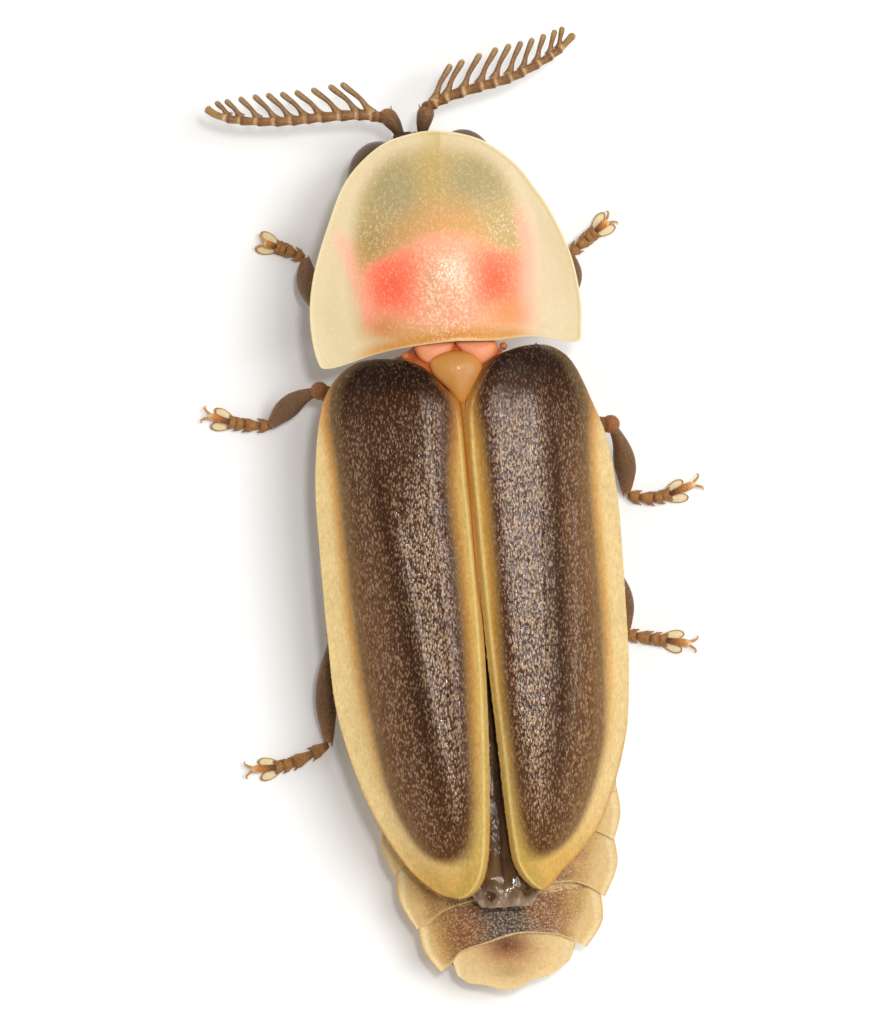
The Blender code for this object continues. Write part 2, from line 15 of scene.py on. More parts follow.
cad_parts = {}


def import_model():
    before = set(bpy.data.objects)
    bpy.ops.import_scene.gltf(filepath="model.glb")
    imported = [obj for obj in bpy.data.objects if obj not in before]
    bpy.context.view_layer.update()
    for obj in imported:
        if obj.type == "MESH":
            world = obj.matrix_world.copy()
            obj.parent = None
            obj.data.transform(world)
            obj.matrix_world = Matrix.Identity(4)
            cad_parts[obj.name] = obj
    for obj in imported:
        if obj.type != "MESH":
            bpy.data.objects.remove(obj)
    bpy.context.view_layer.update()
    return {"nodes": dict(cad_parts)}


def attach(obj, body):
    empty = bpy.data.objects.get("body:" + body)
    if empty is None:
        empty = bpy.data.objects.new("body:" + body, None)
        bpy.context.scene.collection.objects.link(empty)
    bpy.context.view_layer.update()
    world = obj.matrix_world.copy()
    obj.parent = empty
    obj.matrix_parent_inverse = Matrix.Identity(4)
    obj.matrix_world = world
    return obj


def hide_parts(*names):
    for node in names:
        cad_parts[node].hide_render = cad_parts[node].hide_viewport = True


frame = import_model()
print("solid parts:", len(frame["nodes"]))

# %% [markdown]
# ## Tools for the shapes
# A beetle has no straight edge anywhere. Its outlines are smooth curves through a few points, and
# its colours run into each other. So small tools come first. One reads an sRGB colour as the linear
# numbers that Blender shades with. Some give soft limits, bands and spots. One draws a curve through
# points, and one lays coats of colour over each other, as a painter of models would.

# %% Units, colours and curves
MM = 0.001


def linear(colour):
    """An sRGB hex colour as linear red, green and blue."""
    channels = np.array([int(colour[start:start + 2], 16) / 255 for start in (0, 2, 4)])
    return np.where(channels <= 0.04045, channels / 12.92, ((channels + 0.055) / 1.055) ** 2.4)


def ease(value):
    """0 up to 0 and 1 from 1 on, with a smooth rise between them."""
    held = np.clip(value, 0.0, 1.0)
    return held * held * (3 - 2 * held)


def after(value, start, soft):
    """0 before a start, and 1 when the value is past it by its soft width."""
    return ease((value - start) / soft)


def before(value, end, soft):
    """0 past an end, and 1 when the value is short of it by its soft width."""
    return ease((end - value) / soft)


def band(value, middle, wide):
    """1 at the middle of a soft-edged band, and 0 away from it on both sides."""
    return np.exp(-((value - middle) / wide) ** 2)


def curve(points, shares, closed=False):
    """Points at these shares of a smooth curve through the given ones."""
    points = np.asarray(points, float)
    spans = len(points) if closed else len(points) - 1
    place = np.atleast_1d(shares) * spans
    start = np.clip(place.astype(int), 0, spans - 1)
    step = (place - start)[:, None]
    around = []
    for offset in (-1, 0, 1, 2):
        index = (start + offset) % spans if closed else np.clip(start + offset, 0, spans)
        around.append(points[index])
    a, b, c, d = around
    bend = 2 * a - 5 * b + 4 * c - d
    return 0.5 * (2 * b + (c - a) * step + bend * step ** 2 + (3 * b - a - 3 * c + d) * step ** 3)


def paint(colours, *coats):
    """Lays coats over colours. Each is a hex colour and how strong it is at each point."""
    for over, strong in coats:
        colours = colours + (linear(over) - colours) * np.asarray(strong)[..., None]
    return colours


def near(points, centre, reach, power=2):
    """1 at the centre of a soft-edged spot, down to 0 past its reach. A higher power makes it squarer."""
    away = (points[..., :2] - np.array(centre)) / np.array(reach)
    return np.exp(-np.sum(np.abs(away) ** power, axis=-1))


def ripple(points, pitch, shift=0.0):
    """Smooth noise between -1 and 1, with bumps about one pitch apart."""
    flat = np.asarray(points).reshape(-1, 3) / np.asarray(pitch) + shift
    return np.array([noise.noise(Vector(place)) for place in flat]).reshape(np.shape(points)[:-1])


print("half way from 0 to 1:", float(ease(0.5)))

# %% [markdown]
# ## From points to pieces
# Two kinds of surface are enough for the whole insect. A **loft** is a skin over closed rings, for
# legs, feelers and body. A **sheet** is a thin closed plate made from one grid of points, for the
# shield, the wing cases and the plates of the abdomen. Its underside is the same grid, moved in along
# the surface's own direction. Each gives a batch: points, faces, colours, the strength of the relief
# and a place in an unwrap. A piece is made from one or more of them. Colour and relief are painted on
# the points by formula, so no picture is needed.

# %% Lofts, sheets and pieces


def per_point(values, shape):
    """Values for rings of points, and the means of the first and last ring for the two end points."""
    values = np.broadcast_to(values, (*shape, np.shape(values)[-1]))
    return np.vstack([values.reshape(-1, values.shape[-1]), values[0].mean(axis=0), values[-1].mean(axis=0)])


def unwrap_grid(rows, columns):
    """How far along and across each point of a grid lies, from 0 to 1."""
    shares = np.meshgrid(np.linspace(0, 1, rows), np.linspace(0, 1, columns), indexing="ij")
    return np.stack(shares, axis=-1)


def loft(rings, tint, relief):
    """A closed skin over rings of points. The tint is one colour, or one for each point."""
    rows, count = shape = rings.shape[:2]
    index = np.arange(rows * count).reshape(shape)
    beside = np.roll(index, -1, axis=1)
    quads = np.stack([index[:-1], beside[:-1], beside[1:], index[1:]], axis=-1).reshape(-1, 4)
    first = np.stack([index[0], beside[0], np.full(count, rows * count)], axis=-1)
    last = np.stack([index[-1], beside[-1], np.full(count, rows * count + 1)], axis=-1)
    tint = linear(tint) if isinstance(tint, str) else tint
    return (
        per_point(rings, shape), quads, np.vstack([first, last]), per_point(tint, shape),
        per_point(np.asarray(relief)[..., None], shape)[:, 0], per_point(unwrap_grid(rows, count), shape),
    )


def facing(grid):
    """The direction that a grid of points faces at each of them."""
    down = np.gradient(grid, axis=0)
    across = np.gradient(grid, axis=1)
    straight = np.cross(down, across)
    length = np.linalg.norm(straight, axis=-1, keepdims=True)
    straight = straight / np.maximum(length, 1e-9)
    return straight * np.sign(np.mean(straight[..., 2]))


def sheet(grid, thick, tint, relief=1.0):
    """A thin closed plate under a grid of points, with a tint for each point."""
    rows, columns = grid.shape[:2]
    under = grid - facing(grid) * np.broadcast_to(thick, (rows, columns))[..., None]
    index = np.arange(rows * columns).reshape(rows, columns)
    top = np.stack([index[:-1, :-1], index[:-1, 1:], index[1:, 1:], index[1:, :-1]], axis=-1)
    top = top.reshape(-1, 4)
    edge = np.concatenate([index[0], index[1:, -1], index[-1, -2::-1], index[-2:0:-1, 0]])
    onward = np.roll(edge, -1)
    size = rows * columns
    wall = np.stack([edge, onward, onward + size, edge + size], axis=-1)
    relief = np.broadcast_to(relief, (rows, columns)).ravel()
    return (
        np.vstack([grid.reshape(-1, 3), under.reshape(-1, 3)]),
        np.vstack([top, top[:, ::-1] + size, wall]), np.zeros((0, 3), int),
        np.tile(tint.reshape(-1, 3), (2, 1)), np.tile(relief, 2),
        np.tile(unwrap_grid(rows, columns).reshape(-1, 2), (2, 1)),
    )


# Points closer than this are welded to one.
WELD = 0.0004


def piece(name, batches, finish, slot, *nodes):
    """One object that rides on the body and stands for these parts of the solid model."""
    points, quads, triangles, colours, reliefs, unwraps = [], [], [], [], [], []
    start = 0
    for place, four, three, colour, relief, unwrap in batches:
        points.append(place)
        quads += (four + start).tolist()
        triangles += (three + start).tolist()
        colours.append(np.hstack([colour, np.ones((len(place), 1))]))
        reliefs.append(relief)
        unwraps.append(unwrap)
        start += len(place)
    mesh = bpy.data.meshes.new(name)
    mesh.from_pydata((np.vstack(points) * MM).tolist(), [], quads + triangles)
    for title, kind, field, values in (
        ("Tint", "FLOAT_COLOR", "color", np.vstack(colours)),
        ("Relief", "FLOAT", "value", np.concatenate(reliefs)),
        ("Unwrap", "FLOAT2", "vector", np.vstack(unwraps)),
    ):
        layer = mesh.attributes.new(title, kind, "POINT")
        layer.data.foreach_set(field, np.ascontiguousarray(values, np.float32).ravel())
    tidy = bmesh.new()
    tidy.from_mesh(mesh)
    bmesh.ops.remove_doubles(tidy, verts=tidy.verts, dist=WELD * MM)
    bmesh.ops.recalc_face_normals(tidy, faces=tidy.faces)
    tidy.to_mesh(mesh)
    tidy.free()
    mesh.shade_smooth()
    mesh.materials.append(finish)
    made = bpy.data.objects.new(name, mesh)
    bpy.context.scene.collection.objects.link(made)
    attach(made, "root")
    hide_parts(*nodes)
    print(name, "faces:", len(mesh.polygons))
    return made


# %% [markdown]
# ## Camera, floor and light
# The insect was photographed from straight above through a long lens, so the camera looks down from
# 300 mm and sees a frame 17.9 mm high. The main light is a big soft box above and to the right. That
# is why the shadow is soft and lies on the left, and why the shine sits on slopes that face right. A
# smaller flash near the camera lights the tops, and a soft sky fills the shadow. The pale floor throws
# light back up through the thin edges of the insect. The view transform is Standard: a tint then
# looks in the picture as it does in the exported model, and pale colours needn't be made garish.

# %% Camera, floor and light
FRAME_HIGH = 17.88
FRAME_MIDDLE = (-0.148, -0.061)
CAMERA_ABOVE = 300.0
SIGHT_LEVEL = 1.9
FLOOR_HALF = 400.0
SOFT_BOX_FROM = (70.0, 22.0, 150.0)
SOFT_BOX_WIDE = 85.0
SOFT_BOX_POWER = 0.17
FLASH_FROM = (26.0, 34.0, 285.0)
FLASH_WIDE = 26.0
FLASH_POWER = 0.21

# The sky is brighter low down than overhead. 1 and 2 are limits of height, 3 and 4 the strengths there.
SKY_TINT = (1.0, 0.965, 0.905, 1.0)
SKY_FADE = {1: 0.5, 2: 0.85, 3: 0.95, 4: 0.1}


def add(tree, kind, inputs=None, **settings):
    """Adds one node. Each input is a value, or another node's output to link."""
    made = tree.nodes.new(kind)
    for name, value in settings.items():
        setattr(made, name, value)
    for name, value in (inputs or {}).items():
        if isinstance(value, bpy.types.NodeSocket):
            tree.links.new(value, made.inputs[name])
        else:
            made.inputs[name].default_value = value
    return made


camera_data = bpy.data.cameras.new("camera")
camera_data.sensor_fit = "VERTICAL"
camera_data.lens = camera_data.sensor_height * CAMERA_ABOVE / FRAME_HIGH
camera_data.clip_start = 0.01
camera = bpy.data.objects.new("camera", camera_data)
camera.location = Vector((*FRAME_MIDDLE, SIGHT_LEVEL + CAMERA_ABOVE)) * MM
bpy.context.scene.collection.objects.link(camera)
bpy.context.scene.camera = camera

paper = bpy.data.materials.new("matt_white_paper")
paper.use_nodes = True
paper_shader = paper.node_tree.nodes["Principled BSDF"]
paper_shader.inputs["Base Color"].default_value = (*linear("FAFAFA"), 1.0)
paper_shader.inputs["Roughness"].default_value = 0.9
paper_shader.inputs["Specular IOR Level"].default_value = 0.1

floor_mesh = bpy.data.meshes.new("floor")
corners = [(-1, -1, 0), (1, -1, 0), (1, 1, 0), (-1, 1, 0)]
floor_mesh.from_pydata([Vector(corner) * FLOOR_HALF * MM for corner in corners], [], [(0, 1, 2, 3)])
floor_mesh.materials.append(paper)
floor = bpy.data.objects.new("floor", floor_mesh)
bpy.context.scene.collection.objects.link(floor)


def lamp(name, place, wide, power, shape):
    """A soft light that looks at the middle of the insect."""
    light = bpy.data.lights.new(name, "AREA")
    light.shape = shape
    light.size = wide * MM
    light.energy = power
    made = bpy.data.objects.new(name, light)
    made.location = Vector(place) * MM
    made.rotation_euler = Vector(place).to_track_quat("Z", "Y").to_euler()
    bpy.context.scene.collection.objects.link(made)
    return made


lamp("soft_box", SOFT_BOX_FROM, SOFT_BOX_WIDE, SOFT_BOX_POWER, "SQUARE")
lamp("flash", FLASH_FROM, FLASH_WIDE, FLASH_POWER, "DISK")

world = bpy.data.worlds.new("soft_sky")
world.use_nodes = True
way = add(world.node_tree, "ShaderNodeTexCoord")
parts = add(world.node_tree, "ShaderNodeSeparateXYZ", {0: way.outputs["Generated"]})
fade = add(world.node_tree, "ShaderNodeMapRange", {0: parts.outputs["Z"], **SKY_FADE})
sky = world.node_tree.nodes["Background"]
sky.inputs["Color"].default_value = SKY_TINT
world.node_tree.links.new(fade.outputs[0], sky.inputs["Strength"])
bpy.context.scene.world = world
bpy.context.scene.view_settings.view_transform = "Standard"
print("lens, mm:", round(camera_data.lens, 1))

# %% [markdown]
# ## The finish of an insect's shell
# The shell is tanned chitin, a hard natural plastic with a gloss like varnished horn. Its IOR is
# about 1.55 and it is never a metal. Up close it isn't smooth: it has worm-like wrinkles, small pits
# or standing grains, and cloudy spots where pigment lies thicker. The tops of the grains catch the
# light as pale flecks. A shiny coat alone turns a dark shell grey, so the flecks are also painted into
# the colour as painted highlights, and the bottoms of the wrinkles are painted darker as painted shade.
# All shells of the insect are made that way, so one function makes them with other sizes.
# The wrinkles and grains are bump, as they are under 0.1 mm across, and larger forms are in the mesh.
# The painted relief says where they are strong, and where the painted highlights and shade show.
# The real grains are finer in places: they are drawn 0.03 to 0.04 mm wide, as wide as the flecks look.

# %% One way to make chitin
CHITIN_IOR = 1.55
COAT_IOR = 1.7
COAT_ROUGHNESS = 0.1
GLOW_DEEP = 0.15 * MM
CLOUD_DENSITY = 2.5
CLOUD_STRENGTH = 0.06
DARKEST = 0.15


def chitin(
    name, roughness, wrinkle, pit, mottle_and_crease_shade=0.2, coat=0.0, glow=0.0, glow_colour="FFE6D2", shine=0.5,
    glint_paint=0.0, glint_paint_colour="D8C6AE", matt=0.0,
):
    """wrinkle is pitch, height and stretch. pit is pitch and depth, and below 0 it is a standing grain.

    glint_paint is how far the tops of the grains are painted towards glint_paint_colour, as painted
    highlights. The argument after pit sets both the clouds of pigment and the painted shade in the
    wrinkles. matt is the relief below which the shell has no coat on it. In a node's inputs, 0 is the
    value. For a Map Range node, 1 and 2 are the limits that it goes between, and 3 and 4 what they
    turn into.
    """
    made = bpy.data.materials.new(name)
    made.use_nodes = True
    tree = made.node_tree
    shader = tree.nodes["Principled BSDF"]
    tint = add(tree, "ShaderNodeAttribute", attribute_name="Tint").outputs["Color"]
    relief = add(tree, "ShaderNodeAttribute", attribute_name="Relief").outputs["Fac"]
    place = add(tree, "ShaderNodeTexCoord").outputs["Object"]
    to_mm = add(tree, "ShaderNodeVectorMath", {0: place, "Scale": 1 / MM}, operation="SCALE").outputs[0]
    along = add(tree, "ShaderNodeMapping", {0: to_mm, "Scale": (1.0, 1 / wrinkle[2], 1.0)}).outputs[0]

    # The ground is the painted tint, darker under the clouds of pigment and, as painted shade, in the
    # wrinkles.
    clouds = add(tree, "ShaderNodeTexNoise", {0: to_mm, "Scale": CLOUD_DENSITY, "Detail": 4.0}).outputs[0]
    noise_form = {"Scale": 0.7 / wrinkle[0], "Detail": 2.0, "Roughness": 0.5, "Distortion": 0.8}
    worms = add(tree, "ShaderNodeTexNoise", {0: along, **noise_form}).outputs[0]
    fine = add(tree, "ShaderNodeMath", {0: worms, 1: -0.5}, operation="ADD").outputs[0]
    cloudy = {1: 0.3, 2: 0.7, 3: -CLOUD_STRENGTH * mottle_and_crease_shade, 4: CLOUD_STRENGTH * mottle_and_crease_shade}
    wide = add(tree, "ShaderNodeMapRange", {0: clouds, **cloudy})
    crease_shade_strength = add(tree, "ShaderNodeMath", {0: relief, 1: 5.0 * mottle_and_crease_shade}, operation="MULTIPLY")
    grain = add(
        tree, "ShaderNodeMath", {0: fine, 1: crease_shade_strength.outputs[0], 2: wide.outputs[0]},
        operation="MULTIPLY_ADD",
    )
    dots = add(
        tree, "ShaderNodeTexVoronoi", {0: along, "Scale": 1 / pit[0], "Smoothness": 0.35},
        feature="SMOOTH_F1",
    ).outputs[0]
    share = add(tree, "ShaderNodeMath", {0: grain.outputs[0], 1: 1.0}, operation="ADD")
    above = add(tree, "ShaderNodeMath", {0: share.outputs[0], 1: DARKEST}, operation="MAXIMUM")
    ground = add(tree, "ShaderNodeVectorMath", {0: tint, "Scale": above.outputs[0]}, operation="SCALE")

    # Painted highlights go on the tops of the grains. The tops lie near the middles of the grains, bent
    # by the wrinkles. They show on strong relief.
    bent = add(tree, "ShaderNodeMath", {0: fine, 1: -1.1, 2: dots}, operation="MULTIPLY_ADD")
    peak = add(
        tree, "ShaderNodeMath", {0: relief, 1: -0.2, 2: bent.outputs[0]}, operation="MULTIPLY_ADD",
    )
    tops = add(tree, "ShaderNodeMapRange", {0: peak.outputs[0], 1: 0.4, 2: 0.04, 3: 0.0, 4: glint_paint})
    light = add(tree, "ShaderNodeMath", {0: tops.outputs[0], 1: relief}, operation="MULTIPLY")
    shade = add(
        tree, "ShaderNodeMix",
        {"Factor": light.outputs[0], 6: ground.outputs[0], 7: (*linear(glint_paint_colour), 1.0)},
        data_type="RGBA",
    )
    tree.links.new(shade.outputs[2], shader.inputs["Base Color"])

    height = add(tree, "ShaderNodeMath", {0: worms, 1: relief}, operation="MULTIPLY")
    folds = add(tree, "ShaderNodeBump", {"Distance": 4 * wrinkle[1] * MM, "Height": height.outputs[0]})
    spots = add(tree, "ShaderNodeMath", {0: dots, 1: relief}, operation="MULTIPLY")
    holes = add(
        tree, "ShaderNodeBump",
        {"Distance": 1.5 * abs(pit[1]) * MM, "Height": spots.outputs[0], "Normal": folds.outputs[0]},
        invert=pit[1] < 0,
    )
    for socket in ("Normal", "Coat Normal"):
        tree.links.new(holes.outputs[0], shader.inputs[socket])

    uneven = {1: 0.3, 2: 0.7, 3: roughness - 0.06, 4: roughness + 0.06}
    gloss = add(tree, "ShaderNodeMapRange", {0: clouds, **uneven})
    tree.links.new(gloss.outputs[0], shader.inputs["Roughness"])
    varnish = add(
        tree, "ShaderNodeMath", {0: relief, 1: coat, 2: -matt * coat},
        operation="MULTIPLY_ADD", use_clamp=True,
    )
    tree.links.new(varnish.outputs[0], shader.inputs["Coat Weight"])
    for socket, value in (
        ("IOR", CHITIN_IOR), ("Specular IOR Level", shine), ("Coat Roughness", COAT_ROUGHNESS),
        ("Coat IOR", COAT_IOR), ("Subsurface Weight", glow), ("Subsurface Scale", GLOW_DEEP),
        ("Subsurface Radius", tuple(linear(glow_colour))),
    ):
        shader.inputs[socket].default_value = value
    made.diffuse_color = (*linear("A07040"), 1.0)
    return made


shield_chitin = chitin(
    "clear_pale_chitin", 0.42, (0.04, 0.0006, 1.3), (0.042, -0.005), 0.12, 0.45, 0.2, shine=0.25, glint_paint=0.6,
    glint_paint_colour="FFEAD0", matt=0.2,
)
case_chitin = chitin(
    "wrinkled_dark_chitin", 0.4, (0.03, 0.004, 2.2), (0.034, -0.008), 0.7, 0.85, shine=0.05, glint_paint=0.6,
    glint_paint_colour="D6B48E", matt=0.35,
)
print("shell finishes so far:", shield_chitin.name, case_chitin.name)

# %% [markdown]
# ## The shield
# The pronotum is a half-round shield that hides the head. Its middle is a low dome, and its edge is a
# thin clear flange with a rolled rim. It could be sculpted, but a formula is easier to steer: rings of
# points run out to an outline of 21 points, and a soft rounded box gives the dome its height. The dark
# eyes show through the front as an olive arch, and the pink with two red spots is flesh that shows
# through the clear shell. It isn't modelled as glass over flesh, which would bake badly. The haze is
# painted, as soft spots laid over one another.

# %% The shield's form
SHIELD_OUTLINE = [
    (-0.17, 6.59), (0.5, 6.44), (1.08, 6.05), (1.43, 5.63), (1.75, 5.15), (2.08, 4.42), (2.24, 3.7),
    (2.26, 3.2), (2.17, 2.91), (1.4, 3.0), (0.77, 2.93), (-0.1, 2.9), (-1.17, 2.73), (-2.12, 2.44),
    (-2.36, 2.6), (-2.48, 3.3), (-2.42, 4.05), (-2.17, 4.93), (-1.85, 5.72), (-1.3, 6.3), (-0.72, 6.54),
]
SHIELD_MIDDLE = np.array((-0.12, 4.55))
DOME_MIDDLE = (-0.15, 4.05)
SHIELD_CROWN = 2.88
SHIELD_RIM = 2.1
SHIELD_THICK = 0.1
RIM_BEAD = 0.012
shares = np.linspace(0.0, 1.0, 100) ** 0.85
spokes = np.linspace(0.0, 1.0, 360, endpoint=False)
rim = curve(SHIELD_OUTLINE, spokes, closed=True)
flat = SHIELD_MIDDLE + (rim - SHIELD_MIDDLE) * shares[:, None, None]
x, y = flat[..., 0], flat[..., 1]
to_rim = np.linalg.norm(rim - SHIELD_MIDDLE, axis=1) * (1 - shares[:, None])
rear = 0.5 - 0.5 * np.tanh((y - 3.6) / 0.45)
base = SHIELD_RIM + 0.42 * rear * band(x, 0.05, 1.1)
half_long = np.where(y > DOME_MIDDLE[1], 2.42, 1.75)
dome = np.abs((x - DOME_MIDDLE[0]) / 1.66) ** 2.5 + np.abs((y - DOME_MIDDLE[1]) / half_long) ** 2.5
dome = dome ** 0.4
level = base + (SHIELD_CROWN - base) * (1 - after(dome, 0.04, 1.0))
level += RIM_BEAD * band(to_rim, 0.02, 0.03) - 0.006 * band(to_rim, 0.3, 0.2)
level += 0.012 * band(x, -0.2, 0.05) * after(y, 4.4, 0.6)
shield_top = np.dstack([flat, level])
uneven = 0.0012 + 0.0035 * near(flat, (-0.1, 3.85), (0.6, 0.8), 4)
level += uneven * ripple(shield_top, 0.13) + 0.012 * ripple(shield_top, 0.7)
shield_top = np.dstack([flat, level])

# %% The shield's colours
disc = ((np.abs(x + 0.24) / 1.47) ** 2.6 + (np.abs(y - 4.55) / 1.8) ** 2.6) ** (1 / 2.6)
in_disc = before(disc, 1.08, 0.2)
# The left rear flange is painted a little greener and greyer, as painted shade seen through the clear
# flange.
tints = paint(
    linear("D5C29A"),
    ("D2C698", 0.5 * near(flat, (-2.0, 3.3), (0.5, 0.9))),
    ("D49954", 0.85 * in_disc * ease((1.0 - disc) / 0.25 + before(y, 4.9, 0.5))),
)

# The eyes make one olive arch round the front of the disc, and it runs down both of its sides.
arch_low = 5.25 - 0.95 * after(np.abs(x + 0.24), 0.35, 1.0)
arch = ease((y - arch_low + 0.25) / 0.8) * before(disc, 1.1, 0.24)
tints = paint(tints, ("BFA872", 0.8 * arch))
over_eyes = near(flat, (-1.02, 5.6), (0.55, 0.62)) + near(flat, (0.48, 5.76), (0.62, 0.5))
tints = paint(
    tints,
    ("A0956C", np.clip(0.9 * over_eyes, 0, 0.75) * before(disc, 1.04, 0.2)),
    ("A98C4C", 0.7 * near(flat, (-1.4, 4.65), (0.3, 0.5)) * in_disc),
    ("BDA56C", 0.6 * near(flat, (0.95, 4.85), (0.35, 0.45)) * in_disc),
    ("BFA256", 0.5 * band(x, -0.33, 0.22) * after(y, 5.1, 0.6)),
)

# The flesh under the rear half is pink, with two red patches and a paler middle.
pink_top = 4.86 - np.where(x < -0.14, 0.46, 0.34) * np.abs(x + 0.14) ** 1.1
pink = ease((pink_top - y + 0.05 * ripple(shield_top, 0.35)) / 0.3 + 0.5) * after(y, 2.95, 0.4)
in_pink = pink * before(np.abs(x + 0.14), 1.5, 0.18)
tints = paint(tints, ("F2A482", 0.9 * in_pink))
for centre, reach, strong in (((-1.02, 3.94), (0.5, 0.56), 1.0), ((0.76, 4.04), (0.4, 0.54), 0.95)):
    tints = paint(tints, ("FF7A58", strong * near(flat, centre, reach, 4) * in_pink))
    heart = near(flat, np.array(centre) - (0.02, 0.08), np.array(reach) * 0.55)
    tints = paint(tints, ("F85A38", 0.7 * strong * heart))
tints = paint(
    tints,
    ("E6AA84", 0.75 * near(flat, (-0.14, 3.9), (0.4, 0.9)) * in_pink),
    ("D8A07C", 0.5 * near(flat, (-0.38, 3.95), (0.14, 0.3))),
    ("FF8F7E", 0.5 * band(x, -0.02, 0.1) * before(y, 3.75, 0.4) * pink),
)
left_strip = np.exp(-((x + 1.92 - 0.36 * (4.72 - y)) / 0.15) ** 2) * before(y, 4.95, 0.35)
right_strip = np.exp(-((x - 1.33 + 0.25 * np.maximum(y - 4.6, 0)) / 0.14) ** 2) * before(y, 5.45, 0.4)
tints = paint(
    tints,
    ("FBA48E", 0.6 * (left_strip + right_strip) * after(y, 2.95, 0.4)),
    ("CE8440", 0.75 * near(flat, (-1.2, 3.14), (0.36, 0.24))),
    ("D08A48", 0.7 * near(flat, (0.98, 3.4), (0.32, 0.26))),
)
hind_gap = y - (2.93 + 0.1 * x - 0.06 * x ** 2)
behind = before(hind_gap, 0.26, 0.2) * before(np.abs(x + 0.1), 1.8, 0.7)
tints = paint(
    tints,
    ("CC8836", 0.85 * behind),
    ("EFE2B4", 0.5 * band(to_rim, 0.01, 0.02)),
)
# The relief is strongest in the pink middle and on both sides of the olive arch, so the painted highlights
# of the grains show most there.
relief = 0.14 + 0.16 * in_disc + 0.55 * near(flat, (-0.12, 3.75), (0.5, 0.75), 4)
relief += 0.35 * near(flat, (0.9, 4.85), (0.4, 0.45)) + 0.25 * near(flat, (-1.3, 4.8), (0.3, 0.5))
print("shield, mm wide:", round(float(np.ptp(x)), 2))

# %% [markdown]
# The underside of the shield is hollow, like the brim of a hat, and the head sits in it. A block of
# soft skin in its middle carries the front legs. The shield and its block are one closed skin each.

# %% The shield as one piece
under = shield_top.copy()
under[..., 2] -= SHIELD_THICK * (0.35 + 0.65 * np.minimum(to_rim / 0.3, 1.0))
shield_rings = np.concatenate([shield_top, under[::-1]])
shield_tints = np.concatenate([tints, tints[::-1]])
shield_relief = np.concatenate([relief, relief[::-1]])

# y, middle x, half width, lowest, widest and highest level
FORE_RINGS = [
    (4.62, -0.22, 0.4, 1.35, 1.75, 2.1), (4.5, -0.2, 0.75, 1.14, 1.85, 2.3),
    (4.2, -0.17, 1.05, 0.93, 1.9, 2.35), (3.7, -0.1, 1.18, 0.86, 1.9, 2.3),
    (3.2, 0.0, 1.08, 0.92, 1.85, 2.12), (2.96, 0.05, 0.8, 1.1, 1.8, 2.05), (2.86, 0.05, 0.4, 1.35, 1.7, 1.9),
]


def body_rings(table, rows, count, keel=2.0):
    """Rings across a body from a table of its sections, arched above and keeled below."""
    y, middle, half, low, side, high = curve(table, np.linspace(0, 1, rows)).T[:, :, None]
    turn = np.linspace(0, 2 * math.pi, count, endpoint=False)
    lift = np.sin(turn)[None]
    above = side + (high - side) * np.abs(lift) ** 0.9
    below = side - (side - low) * np.abs(lift) ** keel
    level = np.where(lift >= 0, above, below)
    return np.stack([middle + half * np.cos(turn), y + 0 * level, level], axis=-1)


fore = body_rings(FORE_RINGS, 40, 64)
fore[..., 2] += 0.03 * np.sin(fore[..., 1] * 9.0) * (fore[..., 2] < 1.8)
shield = piece(
    "shield", [loft(shield_rings, shield_tints, shield_relief), loft(fore, "B98A56", 0.3)], shield_chitin,
    "shield_cuticle", "pronotum",
)

# %% [markdown]
# ## The wing cases
# The two elytra are leathery, not hard, and cover the flying wings. Each outline is a closed curve
# through points that were measured from the photo. A grid runs between the seam side and the outer
# side, so that the ribs, the wrinkles and the colours can follow the case. Its middle is dark brown
# with worm-like wrinkles and pale flecks, which are painted highlights, and a darker strip of painted
# shade beside the main rib. It fades into a pale flange outside, and into a pale band with a raised
# bead along the seam. The larger wrinkles are real relief in the mesh, so that they catch the light
# from every side.

# %% The form of a wing case

# Each row: seam side x and y, outer side x and y, then how wide the pale bands are on those sides.
CASE_ROWS = {
    "left": [
        (-0.95, 2.6, -0.95, 2.6, 0.0, 0.0), (-0.47, 2.45, -1.61, 2.56, 0.04, 0.03),
        (-0.17, 2.14, -2.04, 2.24, 0.1, 0.06), (0.16, 1.74, -2.29, 1.68, 0.22, 0.2),
        (0.3, 0.5, -2.39, 0.5, 0.4, 0.46), (0.44, -0.9, -2.3, -0.9, 0.4, 0.52),
        (0.56, -2.3, -2.17, -2.3, 0.39, 0.56), (0.63, -3.69, -1.99, -3.66, 0.38, 0.62),
        (0.66, -5.09, -1.5, -5.09, 0.35, 0.5), (0.63, -6.14, -0.91, -6.1, 0.4, 0.5),
        (0.45, -6.66, -0.38, -6.63, 0.4, 0.6), (0.1, -6.82, 0.1, -6.82, 0.4, 0.6),
    ],
    "right": [
        (1.48, 2.87, 1.48, 2.87, 0.0, 0.0), (1.01, 2.77, 1.83, 2.79, 0.02, 0.03),
        (0.59, 2.52, 2.13, 2.52, 0.08, 0.05), (0.26, 1.9, 2.44, 1.89, 0.22, 0.12),
        (0.25, 1.2, 2.71, 1.2, 0.34, 0.38), (0.34, 0.15, 2.9, 0.15, 0.36, 0.52),
        (0.49, -1.42, 3.02, -1.42, 0.34, 0.5), (0.66, -2.99, 3.09, -2.99, 0.28, 0.48),
        (0.81, -4.22, 2.99, -4.22, 0.27, 0.42), (0.96, -5.53, 2.57, -5.53, 0.3, 0.42),
        (1.12, -6.28, 1.97, -6.28, 0.4, 0.5), (1.55, -6.66, 1.55, -6.66, 0.4, 0.5),
    ],
}

